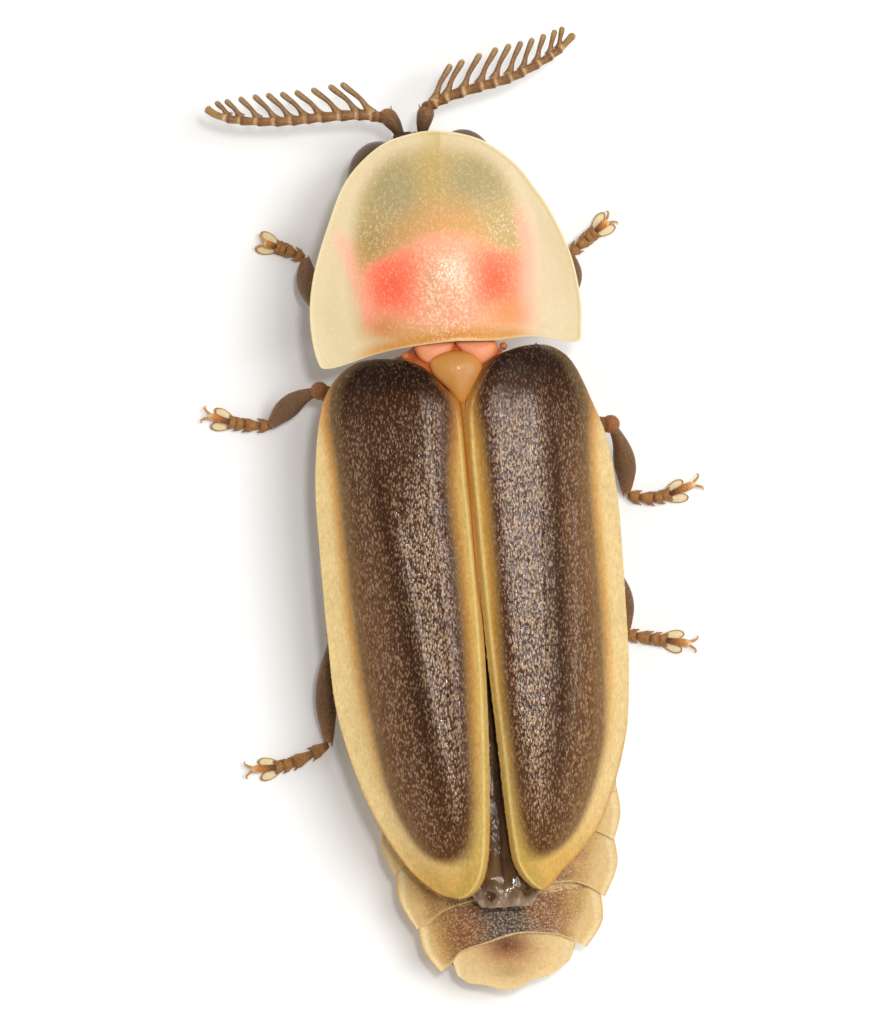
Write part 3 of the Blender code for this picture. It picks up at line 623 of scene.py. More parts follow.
# Levels along a case of its crest and its outer edge, and how high it stands from seam to edge.
CREST = np.c_[[2.18, 2.42, 2.56, 2.61, 2.62, 2.62, 2.62, 2.59, 2.5, 2.32, 2.1, 1.98]]
EDGE = np.c_[[1.98, 1.96, 1.94, 1.92, 1.88, 1.83, 1.78, 1.75, 1.75, 1.76, 1.8, 1.88]]
ACROSS = np.c_[[0.86, 0.95, 1.0, 0.99, 0.95, 0.89, 0.8, 0.66, 0.46, 0.24, 0.07, 0.0]]
CASE_ROLL = {"left": -0.03, "right": 0.07}
CASE_THICK = 0.09
RIB_HEIGHT = 0.035
RIB_WIDTH = 0.05
BEAD_HEIGHT = 0.022
BEAD_WIDTH = 0.035
BEAD_IN = 0.1
WRINKLE_PITCH = 0.08
WRINKLE_HEIGHT = 0.0028
STAIN_END = -6.15
STAIN_ROUND = 0.16
STAIN_SOFT = 0.3
CASE_LENGTHWISE = 420
CASE_CROSSWISE = 130

# Each rib: its share of the way across at the front and at the back.
CASE_RIBS = {"left": [(0.33, 0.15), (0.75, 0.12)], "right": [(0.66, 0.3), (0.95, 0.45)]}


def case_grid(side):
    """The upper side of one wing case, with the distances to its two edges and the pale bands."""
    rows = np.array(CASE_ROWS[side])
    loop = np.vstack([rows[:, :2], rows[-2:0:-1, 2:4]])
    fine = np.linspace(0, 1, 2001)
    line = curve(loop, fine / 2, closed=True) + curve(loop, (1 - fine / 2) % 1, closed=True)
    run = np.concatenate([[0], np.cumsum(np.linalg.norm(np.diff(line, axis=0), axis=1))])
    ends = 0.5 - 0.5 * np.cos(math.pi * np.linspace(0, 1, CASE_LENGTHWISE))
    even = 0.25 * ends + 0.75 * np.linspace(0, 1, CASE_LENGTHWISE)
    share = np.interp(even * run[-1], run, fine)
    seam = curve(loop, share / 2, closed=True)
    outer = curve(loop, (1 - share / 2) % 1, closed=True)
    bands = curve(rows[:, 4:], share)
    wide = np.abs(outer[:, :1] - seam[:, :1])
    even = np.linspace(0, 1, CASE_CROSSWISE)
    across = (0.45 * (0.5 - 0.5 * np.cos(math.pi * even)) + 0.55 * even)[None]
    flat = seam[:, None] + (outer - seam)[:, None] * across[..., None]
    return flat, share[:, None], across, across * wide, (1 - across) * wide, bands


def make_case(side):
    flat, share, across, from_seam, from_edge, bands = case_grid(side)
    crest = curve(CREST, share[:, 0])
    edge = curve(EDGE, share[:, 0])
    level = edge + (crest - edge) * curve(ACROSS, across[0])[:, 0][None]
    level = level + CASE_ROLL[side] * (0.5 - across) * ease(from_edge / 0.8) * ease(share / 0.15)

    # The dark stain keeps its distance from the seam, the outer edge and the tip, with round corners.
    gaps = [from_seam - bands[:, :1], from_edge - bands[:, 1:], flat[..., 1] - STAIN_END]
    inside = -STAIN_ROUND * np.log(sum(np.exp(-np.clip(gap, -3, 3) / STAIN_ROUND) for gap in gaps))
    soft = STAIN_SOFT * (0.6 + 0.4 * before(across, 0.6, 0.3))
    dark = ease((inside + 0.08) / soft + 0.5)
    ribs = [front + (back - front) * share for front, back in CASE_RIBS[side]]
    for number, place in enumerate(ribs):
        rib = np.exp(-(((across - place) * (from_seam + from_edge)) / RIB_WIDTH) ** 2)
        start = 0.12 + 0.25 * number
        level = level + RIB_HEIGHT * rib * ease((share - start) / 0.12) * before(share, 0.85, 0.3)
    bead = band(from_seam, BEAD_IN, BEAD_WIDTH)
    level = level + BEAD_HEIGHT * bead * ease(share / 0.1)
    level = level - 0.06 * band(from_seam, 0.0, 0.05) * ease(share / 0.15)
    grid = np.dstack([flat, level])

    # Wrinkles run lengthwise on the ribs and lean towards the seam beside it.
    slant = grid.copy()
    slant[..., 0] -= 0.5 * grid[..., 1] * (from_seam < 0.7)
    worms = 1 - 2.6 * np.abs(ripple(slant, (WRINKLE_PITCH, 1.7 * WRINKLE_PITCH, WRINKLE_PITCH), 3.1))
    late = after(share, 0.33, 0.12) if side == "left" else 0.0
    inner = ease((ribs[0] + (ribs[1] - ribs[0]) * late - across) / 0.2 + 0.6)
    awake = after(share, 0.19, 0.15)
    strength = dark * awake * (0.5 + 0.5 * inner * before(share, 1.0, 0.2))
    grid[..., 2] += WRINKLE_HEIGHT * worms * strength
    grid[..., 2] += 0.012 * ripple(grid, 0.45, 8.0) * dark
    grid[..., 2] += 0.012 * ripple(grid, (0.2, 3.0, 9.0), 5.0) * dark * awake

    # The pale flange is turned down and under at its edge.
    down = grid[:, -1:] + np.array((0.0, 0.0, -0.06))
    inward = (grid[:, :1] - grid[:, -1:])
    inward = inward / np.maximum(np.linalg.norm(inward, axis=-1, keepdims=True), 1e-6)
    tuck = down + inward * 0.05 + np.array((0.0, 0.0, -0.05))
    grid = np.concatenate([grid, down, tuck], axis=1)

    tints = np.broadcast_to(linear("D8BD86"), (*dark.shape, 3))
    tints = paint(
        tints,
        ("C69A48", 0.85 * after(share, 0.74, 0.16)),
        ("B4954A", 0.8 * before(from_seam, 0.5, 0.2)),
    )
    rim_line = band(inside, -0.12, 0.1) * after(share, 0.12, 0.1)
    # The crest of the bead is painted paler: partly its own pale colour, partly painted highlight.
    tints = paint(
        tints,
        ("B87C2C", 0.7 * rim_line * before(share, 0.85, 0.3)),
        ("DCC480", 0.6 * band(from_seam, BEAD_IN, 0.028) * after(share, 0.2, 0.1)),
    )
    to_side = np.minimum(from_edge, from_seam)
    tints = paint(
        tints,
        ("B5762C", 0.6 * band(to_side, 0.0, 0.04) * after(share, 0.6, 0.2)),
        ("BE7A28", 0.9 * band(from_seam, 0.0, 0.06) * before(share, 0.65, 0.2)),
        ("D08836", 0.85 * before(share, 0.24, 0.08) * before(from_seam, 0.5, 0.2)),
    )
    warm = band(inside, -0.02, 0.09) * (across < 0.5)
    tints = paint(
        tints,
        ("A85A22", 0.8 * before(share, 0.34, 0.1) * warm),
        ("B0743A", 0.5 * before(share, 0.4, 0.15) * band(inside, -0.1, 0.14)),
    )
    brown = paint(
        linear("44291A"),
        ("4E2E1E", 0.75 * inner * after(share, 0.1, 0.15) * before(share, 0.95, 0.3)),
        ("755030", 0.6 * after(across, 0.45, 0.3) * after(share, 0.25, 0.3)),
        ("6C4824", 0.6 * after(share, 0.6, 0.3)),
    )

    # Along the outer side of the main rib the shell is painted darker, as painted shade on the slope
    # that turns from the light, and it has weaker relief there.
    beside = (across - ribs[1 if side == "left" else 0]) * (from_seam + from_edge) - 0.2
    valley_shade = band(beside, 0.0, 0.13) * after(share, 0.25, 0.15) * before(share, 0.9, 0.3)
    brown = paint(
        brown,
        ("2C1B12", 0.6 * valley_shade),
        ("22120A", 0.97 * before(share, 0.33, 0.18)),
        ("8C7350", 0.4 * ease((0.24 - (from_edge - bands[:, 1:])) / 0.24)),
    )
    tints = tints + (brown - tints) * dark[..., None]
    # The relief sets the bump, the coat and how strong the painted highlights are: most in the inner band,
    # less in the shaded strip, and a line of painted glints along the front edge.
    grained = after(inside, -0.12, 0.45)
    relief = 0.18 + grained * (0.38 + 0.4 * inner * before(share, 1.0, 0.35) - 0.25 * valley_shade) * awake
    relief = relief + 0.4 * band(share, 0.05, 0.035) * dark
    thick = CASE_THICK * np.minimum(1.0, 0.3 + to_side / 0.25)

    # The two rows that turn under the edge take over what the edge has.
    layers = (thick, tints, relief)
    thick, tints, relief = (np.concatenate([layer] + [layer[:, -1:]] * 2, axis=1) for layer in layers)
    plate = sheet(grid, thick, tints, relief)
    return piece("wing_case_" + side, [plate], case_chitin, "case_cuticle", "elytron_" + side)


wing_cases = {side: make_case(side) for side in CASE_ROWS}

# %% [markdown]
# ## Domes, tubes and limbs
# The rest of the insect needs three more helpers. A **blob** is a rounded lump, a **pad** is a low dome
# over a closed outline, and a **tube** is a tapering skin along a curved path, with its width and depth
# given at a few places. All three end in the same loft, so they take the same colours and finishes.

# %% Blobs, pads and tubes
PAD_RELIEF = 0.2


def blob(centre, half, tint, relief=1.0, rows=26, count=36):
    tilt = np.linspace(0.03, math.pi - 0.03, rows)[:, None]
    turn = np.linspace(0, 2 * math.pi, count, endpoint=False)[None]
    shape = [np.sin(tilt) * np.cos(turn), -np.cos(tilt) + 0 * turn, np.sin(tilt) * np.sin(turn)]
    rings = np.stack([middle + size * unit for middle, size, unit in zip(centre, half, shape)], axis=-1)
    return loft(rings, tint, relief)


def pad(outline, level, rise, deep, tint, rim_tint, rows=14, count=56):
    """A dome over a closed outline, with another one hanging under it."""
    rim = curve(outline, np.linspace(0, 1, count, endpoint=False), closed=True)
    middle = rim.mean(axis=0)
    share = np.linspace(0.02, 1, rows)[:, None, None]
    flat = middle + (rim - middle) * share
    arch = np.sqrt(1 - share ** 2.4)
    top = np.concatenate([flat, level + rise * arch + 0 * flat[..., :1]], axis=-1)
    under = np.concatenate([flat, level - deep * arch + 0 * flat[..., :1]], axis=-1)
    tints = paint(linear(tint), (rim_tint, after(share[..., 0], 0.72, 0.2)))
    return loft(np.concatenate([top, under[::-1]]), np.concatenate([tints, tints[::-1]]), PAD_RELIEF)


def shades(stops, shares):
    """Colours read from a list of stops, each a share and a hex colour."""
    table = np.array([linear(colour) for _, colour in stops])
    places = [share for share, _ in stops]
    return np.stack([np.interp(shares, places, table[:, channel]) for channel in range(3)], axis=-1)


def tube(path, sizes, tint, rows=24, count=16, relief=1.0, flank=None):
    """A limb along a curved path. Sizes are width and depth, and flank is a colour for both its sides."""
    share = np.linspace(0, 1, rows)
    line = curve(path, share)
    size = np.maximum(curve(sizes, share), 0.004)
    along = np.gradient(line, axis=0)
    along /= np.linalg.norm(along, axis=1, keepdims=True)
    across = np.cross(along, (0, 0, 1))
    across /= np.linalg.norm(across, axis=1, keepdims=True)
    upward = np.cross(across, along)
    turn = np.linspace(0, 2 * math.pi, count, endpoint=False)[None, :, None]
    rings = line[:, None] + across[:, None] * size[:, None, :1] / 2 * np.cos(turn)
    rings = rings + upward[:, None] * size[:, None, 1:] / 2 * np.sin(turn)
    rings[..., 2] = np.maximum(rings[..., 2], 0.0)
    tint = shades(tint, share)[:, None] if isinstance(tint, list) else linear(tint)
    if flank:
        tint = paint(tint, (flank, np.abs(np.cos(turn[..., 0])) ** 3))
    return loft(rings, tint, relief)


print("helpers for the body are ready")

# %% [markdown]
# ## The other finishes
# The legs, the feelers and the head are dark chitin with fine pits, and the middle body is thinner and
# browner. The plates of the abdomen are soft and leathery, with close grains whose tops get painted
# highlights. The eyes are glossy, with hundreds of six-sided lenses about 0.03 mm wide. The flying
# wings are a smoky film. It has a wet shine, because both its faces are smooth.

# %% Finishes for the body
body_chitin = chitin(
    "brown_leathery_chitin", 0.4, (0.05, 0.003, 1.0), (0.045, 0.004), 0.15, 0.15, 0.1, "FF9060", 0.2,
)
limb_chitin = chitin("dark_grained_chitin", 0.45, (0.03, 0.004, 1.0), (0.03, 0.004), 0.3, 0.1, shine=0.2)
plate_chitin = chitin(
    "pitted_soft_chitin", 0.42, (0.035, 0.003, 1.0), (0.04, -0.008), 0.35, 0.6, 0.12, shine=0.15, glint_paint=0.42,
    glint_paint_colour="E0CCA8", matt=0.35,
)
eye_lens = chitin("eye_lenses", 0.2, (0.2, 0.0005, 1.0), (0.03, 0.006), 0.1, 0.3, shine=0.12)
wing_film = chitin("smoky_wing_film", 0.2, (0.12, 0.006, 2.5), (0.4, 0.002), 0.35, 0.2, shine=0.25)

# %% [markdown]
# ## The middle body
# The thorax is a barrel that carries the wings and four of the legs. Its underside is the sternum: a
# broad keeled plate with a furrow along its middle and cross seams where the segments meet. In front,
# between the shield and the wing cases, its soft back shows as two pink cushions and a blunt orange
# triangle, the scutellum. They are separate plates in life, so they are pads here.

# %% The thorax
THORAX_RINGS = [
    (2.8, 0.05, 0.45, 1.2, 1.45, 1.65), (2.7, 0.05, 0.9, 0.98, 1.42, 1.72),
    (2.3, 0.07, 1.45, 0.84, 1.47, 1.8), (1.2, 0.15, 1.9, 0.8, 1.55, 1.82),
    (-0.2, 0.28, 2.0, 0.78, 1.5, 1.82), (-1.3, 0.4, 1.95, 0.82, 1.4, 1.58),
    (-2.1, 0.46, 1.6, 0.88, 1.22, 1.38), (-2.4, 0.5, 1.1, 1.0, 1.18, 1.28),
]
SEAMS = (1.75, 0.0, -0.35)
barrel = body_rings(THORAX_RINGS, 150, 96)
middle_x = np.interp(barrel[..., 1], (-2.4, 2.8), (0.48, 0.05))
is_under = ease((1.5 - barrel[..., 2]) / 0.3)
furrow = 0.05 * np.exp(-((barrel[..., 0] - middle_x) / 0.05) ** 2)
for seam in SEAMS:
    bow = seam + 0.12 * (barrel[..., 0] - middle_x) ** 2
    furrow = furrow + 0.045 * np.exp(-((barrel[..., 1] - bow) / 0.045) ** 2)
barrel[..., 2] += furrow * is_under + 0.012 * ripple(barrel, 0.3)
barrel_tints = paint(
    linear("9C6C3E"),
    ("6A4527", is_under * ease(np.abs(barrel[..., 0] - middle_x) / 2.2)),
    ("C98F58", 0.5 * near(barrel, (0.15, 1.0), (0.5, 1.2)) * is_under),
    ("4A2E1A", np.clip(furrow / 0.05, 0, 1) * 0.7 * is_under),
)
thorax = piece("thorax_skin", [loft(barrel, barrel_tints, 1.5)], body_chitin, "brown_cuticle", "thorax")

SCUTELLUM = [
    (0.07, 2.76), (0.38, 2.7), (0.54, 2.48), (0.46, 2.16), (0.19, 1.8), (-0.1, 2.1), (-0.34, 2.34),
    (-0.39, 2.58), (-0.22, 2.71),
]
CUSHIONS = [
    [(-0.62, 2.9), (-0.02, 2.94), (0.02, 2.78), (-0.12, 2.6), (-0.35, 2.5), (-0.58, 2.62)],
    [(0.1, 2.94), (0.74, 2.92), (0.76, 2.68), (0.52, 2.5), (0.33, 2.6), (0.12, 2.78)],
]
back = [blob((0.06, 2.45, 1.95), (0.95, 0.6, 0.45), "C4602A")]
back += [pad(outline, 2.3, 0.13, 0.3, "E4936A", "D67A40") for outline in CUSHIONS]
KNOBS = [(-0.81, 2.66, 2.3), (0.9, 2.83, 2.3)]
back += [blob(knob, (0.07, 0.07, 0.08), "B8683A", 0.2, 14, 18) for knob in KNOBS]
back.append(pad(SCUTELLUM, 2.36, 0.2, 0.4, "BA8242", "CC8038", 20, 72))
groove = [(0.17, 2.2, 2.35), (0.22, 1.5, 2.43), (0.33, 0.15, 2.43), (0.46, -1.4, 2.43), (0.56, -2.4, 2.3)]
groove_sizes = [(0.3, 0.12), (0.16, 0.1), (0.12, 0.1), (0.12, 0.1), (0.06, 0.06)]
back.append(tube(groove, groove_sizes, "9A6212", 60, 14, 0.2))
piece("scutellum_and_back", back, body_chitin, "brown_cuticle", "thorax")

# %% [markdown]
# ## The flying wings
# A firefly folds its flying wings flat under the cases. Only a smoky sliver shows, where the cases part
# near the tail, and it ends in crumpled folds. The sheet gets pleats along its length with a dark line
# of painted shade in each, and creases near its end that break the shine into facets, whose raised
# faces are painted paler as painted highlight. A cloth simulation would crumple it too, but four sets
# of straight folds can be steered.

# %% The folded wings
WING_ROWS = [
    (0.0, -2.25, 0.95, -2.25, 1.86), (-0.2, -3.4, 1.35, -3.4, 1.84), (-0.2, -4.8, 1.6, -4.8, 1.8),
    (0.0, -6.1, 1.62, -6.1, 1.72), (0.32, -6.72, 1.52, -6.68, 1.62), (0.52, -6.98, 1.38, -6.94, 1.52),
]
rows = curve(WING_ROWS, np.linspace(0, 1, 170))
across = np.linspace(0, 1, 70)[None, :, None]
film = rows[:, None, :2] + (rows[:, None, 2:4] - rows[:, None, :2]) * across
film = np.concatenate([film, rows[:, None, 4:] + 0 * across], axis=-1)
wing_share = np.linspace(0, 1, 170)[:, None]
fold = across[..., 0]
pleats = 0.035 * np.abs(np.sin(math.pi * (3.2 * fold + 0.5 * wing_share)))
facets = np.zeros(fold.shape)

# Each fold: its direction forward and to the right, how far apart its creases are, and their shift.
FOLDS = [(0.3, 1.0, 0.33, 0.2), (0.9, 0.6, 0.42, 0.5), (-0.5, 0.9, 0.27, 0.1), (1.0, -0.2, 0.5, 0.8)]
for ahead, aside, pitch, shift in FOLDS:
    place = (ahead * film[..., 1] + aside * film[..., 0]) / pitch + shift
    facets = facets + np.abs(place - np.round(place)) * pitch
crease = 0.5 * facets * after(wing_share, 0.68, 0.2)
film[..., 2] += pleats * before(wing_share, 1.05, 0.3) + crease - 0.1 * np.abs(2 * fold - 1) ** 3
# Painted shade darkens the bottom of each pleat, and painted highlight lightens the raised facets near the
# end.
film_tints = paint(
    linear("64472A"),
    ("3A281C", ease(1 - pleats / 0.012) * 0.8),
    ("98806A", 0.8 * after(facets, 0.2, 0.1) * after(wing_share, 0.7, 0.2)),
)
piece("folded_wings", [sheet(film, 0.03, film_tints)], wing_film, "wing_membrane", "hind_wings")

# %% [markdown]
# ## The abdomen
# Seven plates overlap on the back like roof tiles, and each has a pale lobe that sweeps back on both
# sides. Below them is a soft body with plates of its own and two small pale spots near the tail. Those
# are the male's lanterns. The back plates are sheets between a front line and a hind line, with the
# corners pulled out. The belly is a loft with a step at the end of each ring.

# %% The plates of the back

# Each plate: its left side, its right side, then its hind edge from left to right, all as x and y.
PLATES = [
    ([(-0.72, -2.3), (-0.98, -2.8), (-1.12, -3.35)], [(2.15, -2.25), (2.4, -2.6), (2.55, -3.0)],
     [(-1.12, -3.35), (0.0, -3.05), (1.4, -2.85), (2.55, -3.0)]),
    ([(-1.02, -3.05), (-1.24, -3.8), (-1.25, -4.5)], [(2.45, -2.75), (2.68, -3.4), (2.74, -4.0)],
     [(-1.25, -4.5), (0.0, -4.1), (1.4, -3.85), (2.74, -4.0)]),
    ([(-1.16, -4.2), (-1.3, -4.95), (-1.27, -5.64)], [(2.64, -3.7), (2.84, -4.35), (2.88, -4.95)],
     [(-1.27, -5.64), (0.0, -5.1), (1.4, -4.8), (2.88, -4.95)]),
    ([(-1.2, -5.35), (-1.23, -5.95), (-1.0, -6.43)], [(2.84, -4.7), (2.95, -5.3), (2.84, -5.8)],
     [(-1.0, -6.43), (-0.75, -6.2), (0.0, -6.0), (1.2, -5.7), (2.3, -5.6), (2.84, -5.8)]),
    ([(-0.98, -6.15), (-0.93, -6.85), (-0.62, -7.37)], [(2.78, -5.55), (2.9, -6.2), (2.68, -6.8)],
     [(-0.62, -7.37), (-0.42, -7.28), (-0.1, -7.02), (0.93, -6.71), (2.0, -6.52), (2.36, -6.6),
      (2.68, -6.8)]),
    ([(-0.62, -7.1), (-0.52, -7.7), (-0.2, -8.13)], [(2.58, -6.6), (2.64, -7.2), (2.36, -7.68)],
     [(-0.2, -8.13), (0.0, -7.96), (0.14, -7.76), (0.6, -7.58), (1.15, -7.41), (1.75, -7.43), (2.1, -7.56),
      (2.36, -7.68)]),
    ([(-0.04, -7.5), (-0.02, -7.85), (0.08, -8.16)], [(2.12, -7.3), (2.16, -7.62), (2.06, -7.92)],
     [(0.08, -8.16), (0.3, -8.31), (0.6, -8.35), (0.9, -8.43), (1.15, -8.4), (1.4, -8.26), (1.75, -8.15),
      (2.06, -7.92)]),
]

# Places along the body, with the half width, the level at the sides and the level along the middle.
BACK_FORM = [
    (-8.6, 0.8, 0.74, 0.86), (-8.0, 1.25, 0.82, 0.98), (-7.3, 1.58, 0.9, 1.1), (-6.6, 1.83, 0.97, 1.22),
    (-5.8, 2.02, 1.03, 1.32), (-4.6, 2.06, 1.08, 1.4), (-3.4, 1.85, 1.1, 1.42), (-2.0, 1.5, 1.1, 1.42),
]
BODY_SLANT = 0.165
PLATE_THICK = 0.035
PLATE_LIFT = 0.085
PLATE_ROWS = 70
PLATE_COLUMNS = 150
form_table = curve(BACK_FORM, np.linspace(0, 1, 300))


def on_body(flat):
    """The level of the back, and how far out each place lies, from -1 to 1 at the widest."""
    middle = np.interp(flat[..., 1], (-8.45, -2.2), (1.0, 0.72))
    along = flat[..., 1] - BODY_SLANT * (flat[..., 0] - middle)
    half, low, high = (np.interp(along, form_table[:, 0], column) for column in form_table.T[1:])
    out = (flat[..., 0] - middle) / half
    return low + (high - low) * (1 - np.minimum(np.abs(out), 1.25) ** 2.2), out


def back_plate(number):
    left, right, hind = PLATES[number]
    down = np.linspace(0, 1, PLATE_ROWS)
    over = np.linspace(0, 1, PLATE_COLUMNS)
    left_side = curve(left, down)[:, None]
    right_side = curve(right, down)[:, None]
    hind_edge = curve(hind, over)
    straight = left_side[-1] + (right_side[-1] - left_side[-1]) * over[:, None]
    flat = left_side + (right_side - left_side) * over[None, :, None]
    flat = flat + (hind_edge - straight)[None] * down[:, None, None] ** 1.5
    share = down[:, None]
    to_side = np.minimum(over, 1 - over)[None] * np.linalg.norm(right_side - left_side, axis=-1)
    level, out = on_body(flat)
    out = np.abs(out)
    level = level + PLATE_LIFT * (share - 0.4)
    level = level - 0.03 * band(out, 0.74, 0.1) + 0.02 * band(to_side, 0.04, 0.05)
    grid = np.dstack([flat, level])
    grid[..., 2] += 0.005 * ripple(grid, 0.11, 5.0) * before(out, 0.9, 0.2) + 0.025 * ripple(grid, 0.7, 9.0)

    tints = np.broadcast_to(linear("CCA768"), grid.shape)
    blur = 0.1 * ripple(grid, 0.3, 2.0)
    if number == len(PLATES) - 1:
        tints = paint(
            tints,
            ("E6CC98", 0.8),
            ("B0743A", 0.8 * near(grid, (1.0, -7.75), (0.66, 0.42))),
            ("5E2A0C", 0.9 * near(grid, (0.96, -7.62), (0.36, 0.24))),
            ("A58858", 0.6 * near(grid, (1.0, -8.1), (0.3, 0.13))),
        )
        pitted = near(grid, (1.08, -7.7), (0.7, 0.5))
    else:
        pitted = ease((0.96 - out + blur) / 0.5) * before(share, 1.25, 0.4)
        tints = paint(
            tints,
            ("7C4820", 0.95 * pitted),
            ("42322A", 0.9 * ease((0.42 - out + blur) / 0.32)),
            ("D0B07A", 0.85 * after(out, 0.76, 0.16)),
            ("D2B07E", 0.85 * after(share, 0.86, 0.1) * before(out, 0.95, 0.2)),
        )
    tints = paint(
        tints,
        ("E8D2A4", 0.7 * band(to_side, 0.1, 0.07)),
        ("CC9440", 0.8 * band(to_side, 0.0, 0.03)),
    )
    # The relief, and with it the bump and the painted highlights on the grains, is strongest where the plate
    # is pitted.
    relief = 0.22 + (0.1 if number == len(PLATES) - 1 else 0.5) * pitted
    thin = PLATE_THICK * np.minimum(1.0, 0.3 + np.minimum(to_side / 0.15, (1 - share) / 0.1))
    return sheet(grid, thin, tints, relief)


plates = [back_plate(number) for number in range(len(PLATES))]

# %% The belly

# Left and right corner of each ring, then its lowest, widest and highest level.
BELLY = [
    (-0.3, -1.9, 1.5, -1.9, 0.98, 1.1, 1.22), (-0.7, -2.3, 2.1, -2.25, 0.58, 1.03, 1.3),
    (-1.0, -3.3, 2.4, -2.95, 0.46, 1.03, 1.33), (-1.12, -4.45, 2.58, -3.95, 0.43, 1.03, 1.33),
    (-1.15, -5.55, 2.7, -4.85, 0.41, 1.0, 1.3),
    (-0.88, -6.35, 2.68, -5.8, 0.41, 0.96, 1.2), (-0.55, -7.2, 2.5, -6.7, 0.43, 0.9, 1.1),
    (-0.1, -7.9, 2.1, -7.5, 0.47, 0.82, 1.0), (0.2, -8.12, 1.9, -7.9, 0.5, 0.75, 0.9),
    (0.65, -8.34, 1.35, -8.28, 0.6, 0.72, 0.8),
]
BELLY_RINGS = 25
STEP_HIGH = 0.05
belly_share = np.linspace(0, 1, BELLY_RINGS * (len(BELLY) - 1) + 1)
ring = curve(BELLY, belly_share).T[:, :, None]
turn = np.linspace(0, 2 * math.pi, 110, endpoint=False)[None]
reach = (1 + np.cos(turn)) / 2
lift = np.sin(turn)
within = (belly_share * (len(BELLY) - 1)) % 1
step = STEP_HIGH * after(within, 0.1, 0.9)[:, None]
arched = ring[5] + (ring[6] - ring[5]) * np.abs(lift) ** 0.9
hanging = ring[5] - (ring[5] - ring[4] + step - STEP_HIGH) * np.abs(lift) ** 1.5
belly = np.stack([
    ring[0] + (ring[2] - ring[0]) * reach,
    ring[1] + (ring[3] - ring[1]) * reach,
    np.where(lift >= 0, arched, hanging),
], axis=-1)
belly[..., 2] += 0.015 * ripple(belly, 0.35)
roof = on_body(belly)[0] - 0.1
belly[..., 2] = np.minimum(belly[..., 2], np.where(lift >= 0, roof, 9.0))
within = within[:, None]
belly_tints = paint(
    linear("C79A5E"),
    ("8E5E32", 0.75 * before(within, 0.45, 0.4)),
    ("E4C796", 0.8 * after(within, 0.85, 0.1)),
)
for spot in ((0.55, -7.15), (1.6, -6.98)):
    belly_tints = paint(belly_tints, ("F2E6B4", near(belly, spot, (0.22, 0.16)) * (lift < 0)))
abdomen = piece(
    "abdomen_plates", [*plates, loft(belly, belly_tints, 1.0)], plate_chitin, "abdomen_cuticle", "abdomen",
)

# %% [markdown]
# ## The head
# The shield hides the head from above, apart from the rims of the eyes and the roots of the feelers.
# Male fireflies look for faint lights in the dark, so the eyes fill most of the head. Between them is a
# narrow face, with curved jaws as thin as needles and short feelers, the palps, round the mouth. The
# eyes are blobs with the lens finish. The jaws and palps are tubes.

# %% Head and eyes
HEAD_RINGS = [
    (4.35, -0.3, 0.32, 1.15, 1.45, 1.75), (4.7, -0.38, 0.45, 0.98, 1.4, 1.85),
    (5.1, -0.45, 0.82, 0.8, 1.3, 1.92), (5.6, -0.55, 0.8, 0.7, 1.25, 1.88),
    (6.05, -0.65, 0.62, 0.72, 1.2, 1.76), (6.35, -0.7, 0.42, 0.85, 1.25, 1.7),
    (6.57, -0.72, 0.22, 1.1, 1.35, 1.62),
]
EYES = {"left": (-1.28, 5.68, 1.24), "right": (0.19, 5.89, 1.24)}
EYE_HALF = (0.58, 0.75, 0.6)
MOUTH = (-0.7, 6.2, 0.92)

# Outward, forward and down from the mouth, then width and depth.
JAW = [(0.2, 0.0, -0.05), (0.3, 0.16, 0.0), (0.22, 0.33, 0.04), (0.03, 0.4, 0.07)]
JAW_SIZES = [(0.16, 0.14), (0.12, 0.11), (0.07, 0.07), (0.02, 0.02)]
PALP = [(0.16, -0.12, 0.0), (0.26, -0.04, 0.14), (0.3, 0.06, 0.24), (0.27, 0.2, 0.33)]
PALP_SIZES = [(0.1, 0.1), (0.12, 0.12), (0.1, 0.1), (0.15, 0.14), (0.05, 0.05)]
skull = body_rings(HEAD_RINGS, 70, 64, keel=1.0)
skull[..., 2] += 0.012 * ripple(skull, 0.2)
head_parts = [loft(skull, "4A3424", 1.0), blob((-0.7, 6.3, 1.0), (0.24, 0.18, 0.12), "6A4424")]
for sign in (-1, 1):
    for path, sizes, tint in ((JAW, JAW_SIZES, "5A2E14"), (PALP, PALP_SIZES, "6B4A2C")):
        line = [(MOUTH[0] + sign * out, MOUTH[1] + ahead, MOUTH[2] - low) for out, ahead, low in path]
        head_parts.append(tube(line, sizes, tint))
for root_x in (-0.9, -0.52):
    head_parts.append(blob((root_x, 6.5, 1.54), (0.13, 0.1, 0.13), "3E2A1C", rows=16, count=20))
head = piece("head_skin", head_parts, limb_chitin, "dark_cuticle", "head")
for side, centre in EYES.items():
    ball = blob(centre, EYE_HALF, "5A4230", 0.3, 60, 90)
    piece("eye_ball_" + side, [ball], eye_lens, "eye_cuticle", "eye_" + side)

# %% [markdown]
# ## The comb feelers
# Each antenna is a comb that catches scent. A thick first joint, the scape, carries a stem of eleven
# short joints, and ten of them start with a long branch. The stem is one tube whose width swells
# towards the end of each joint, with a pale ring where two joints meet. The branches stand on a line
# of roots and end on a line of tips. Both lines are curves through four points, so ten branches need
# no list of their own.

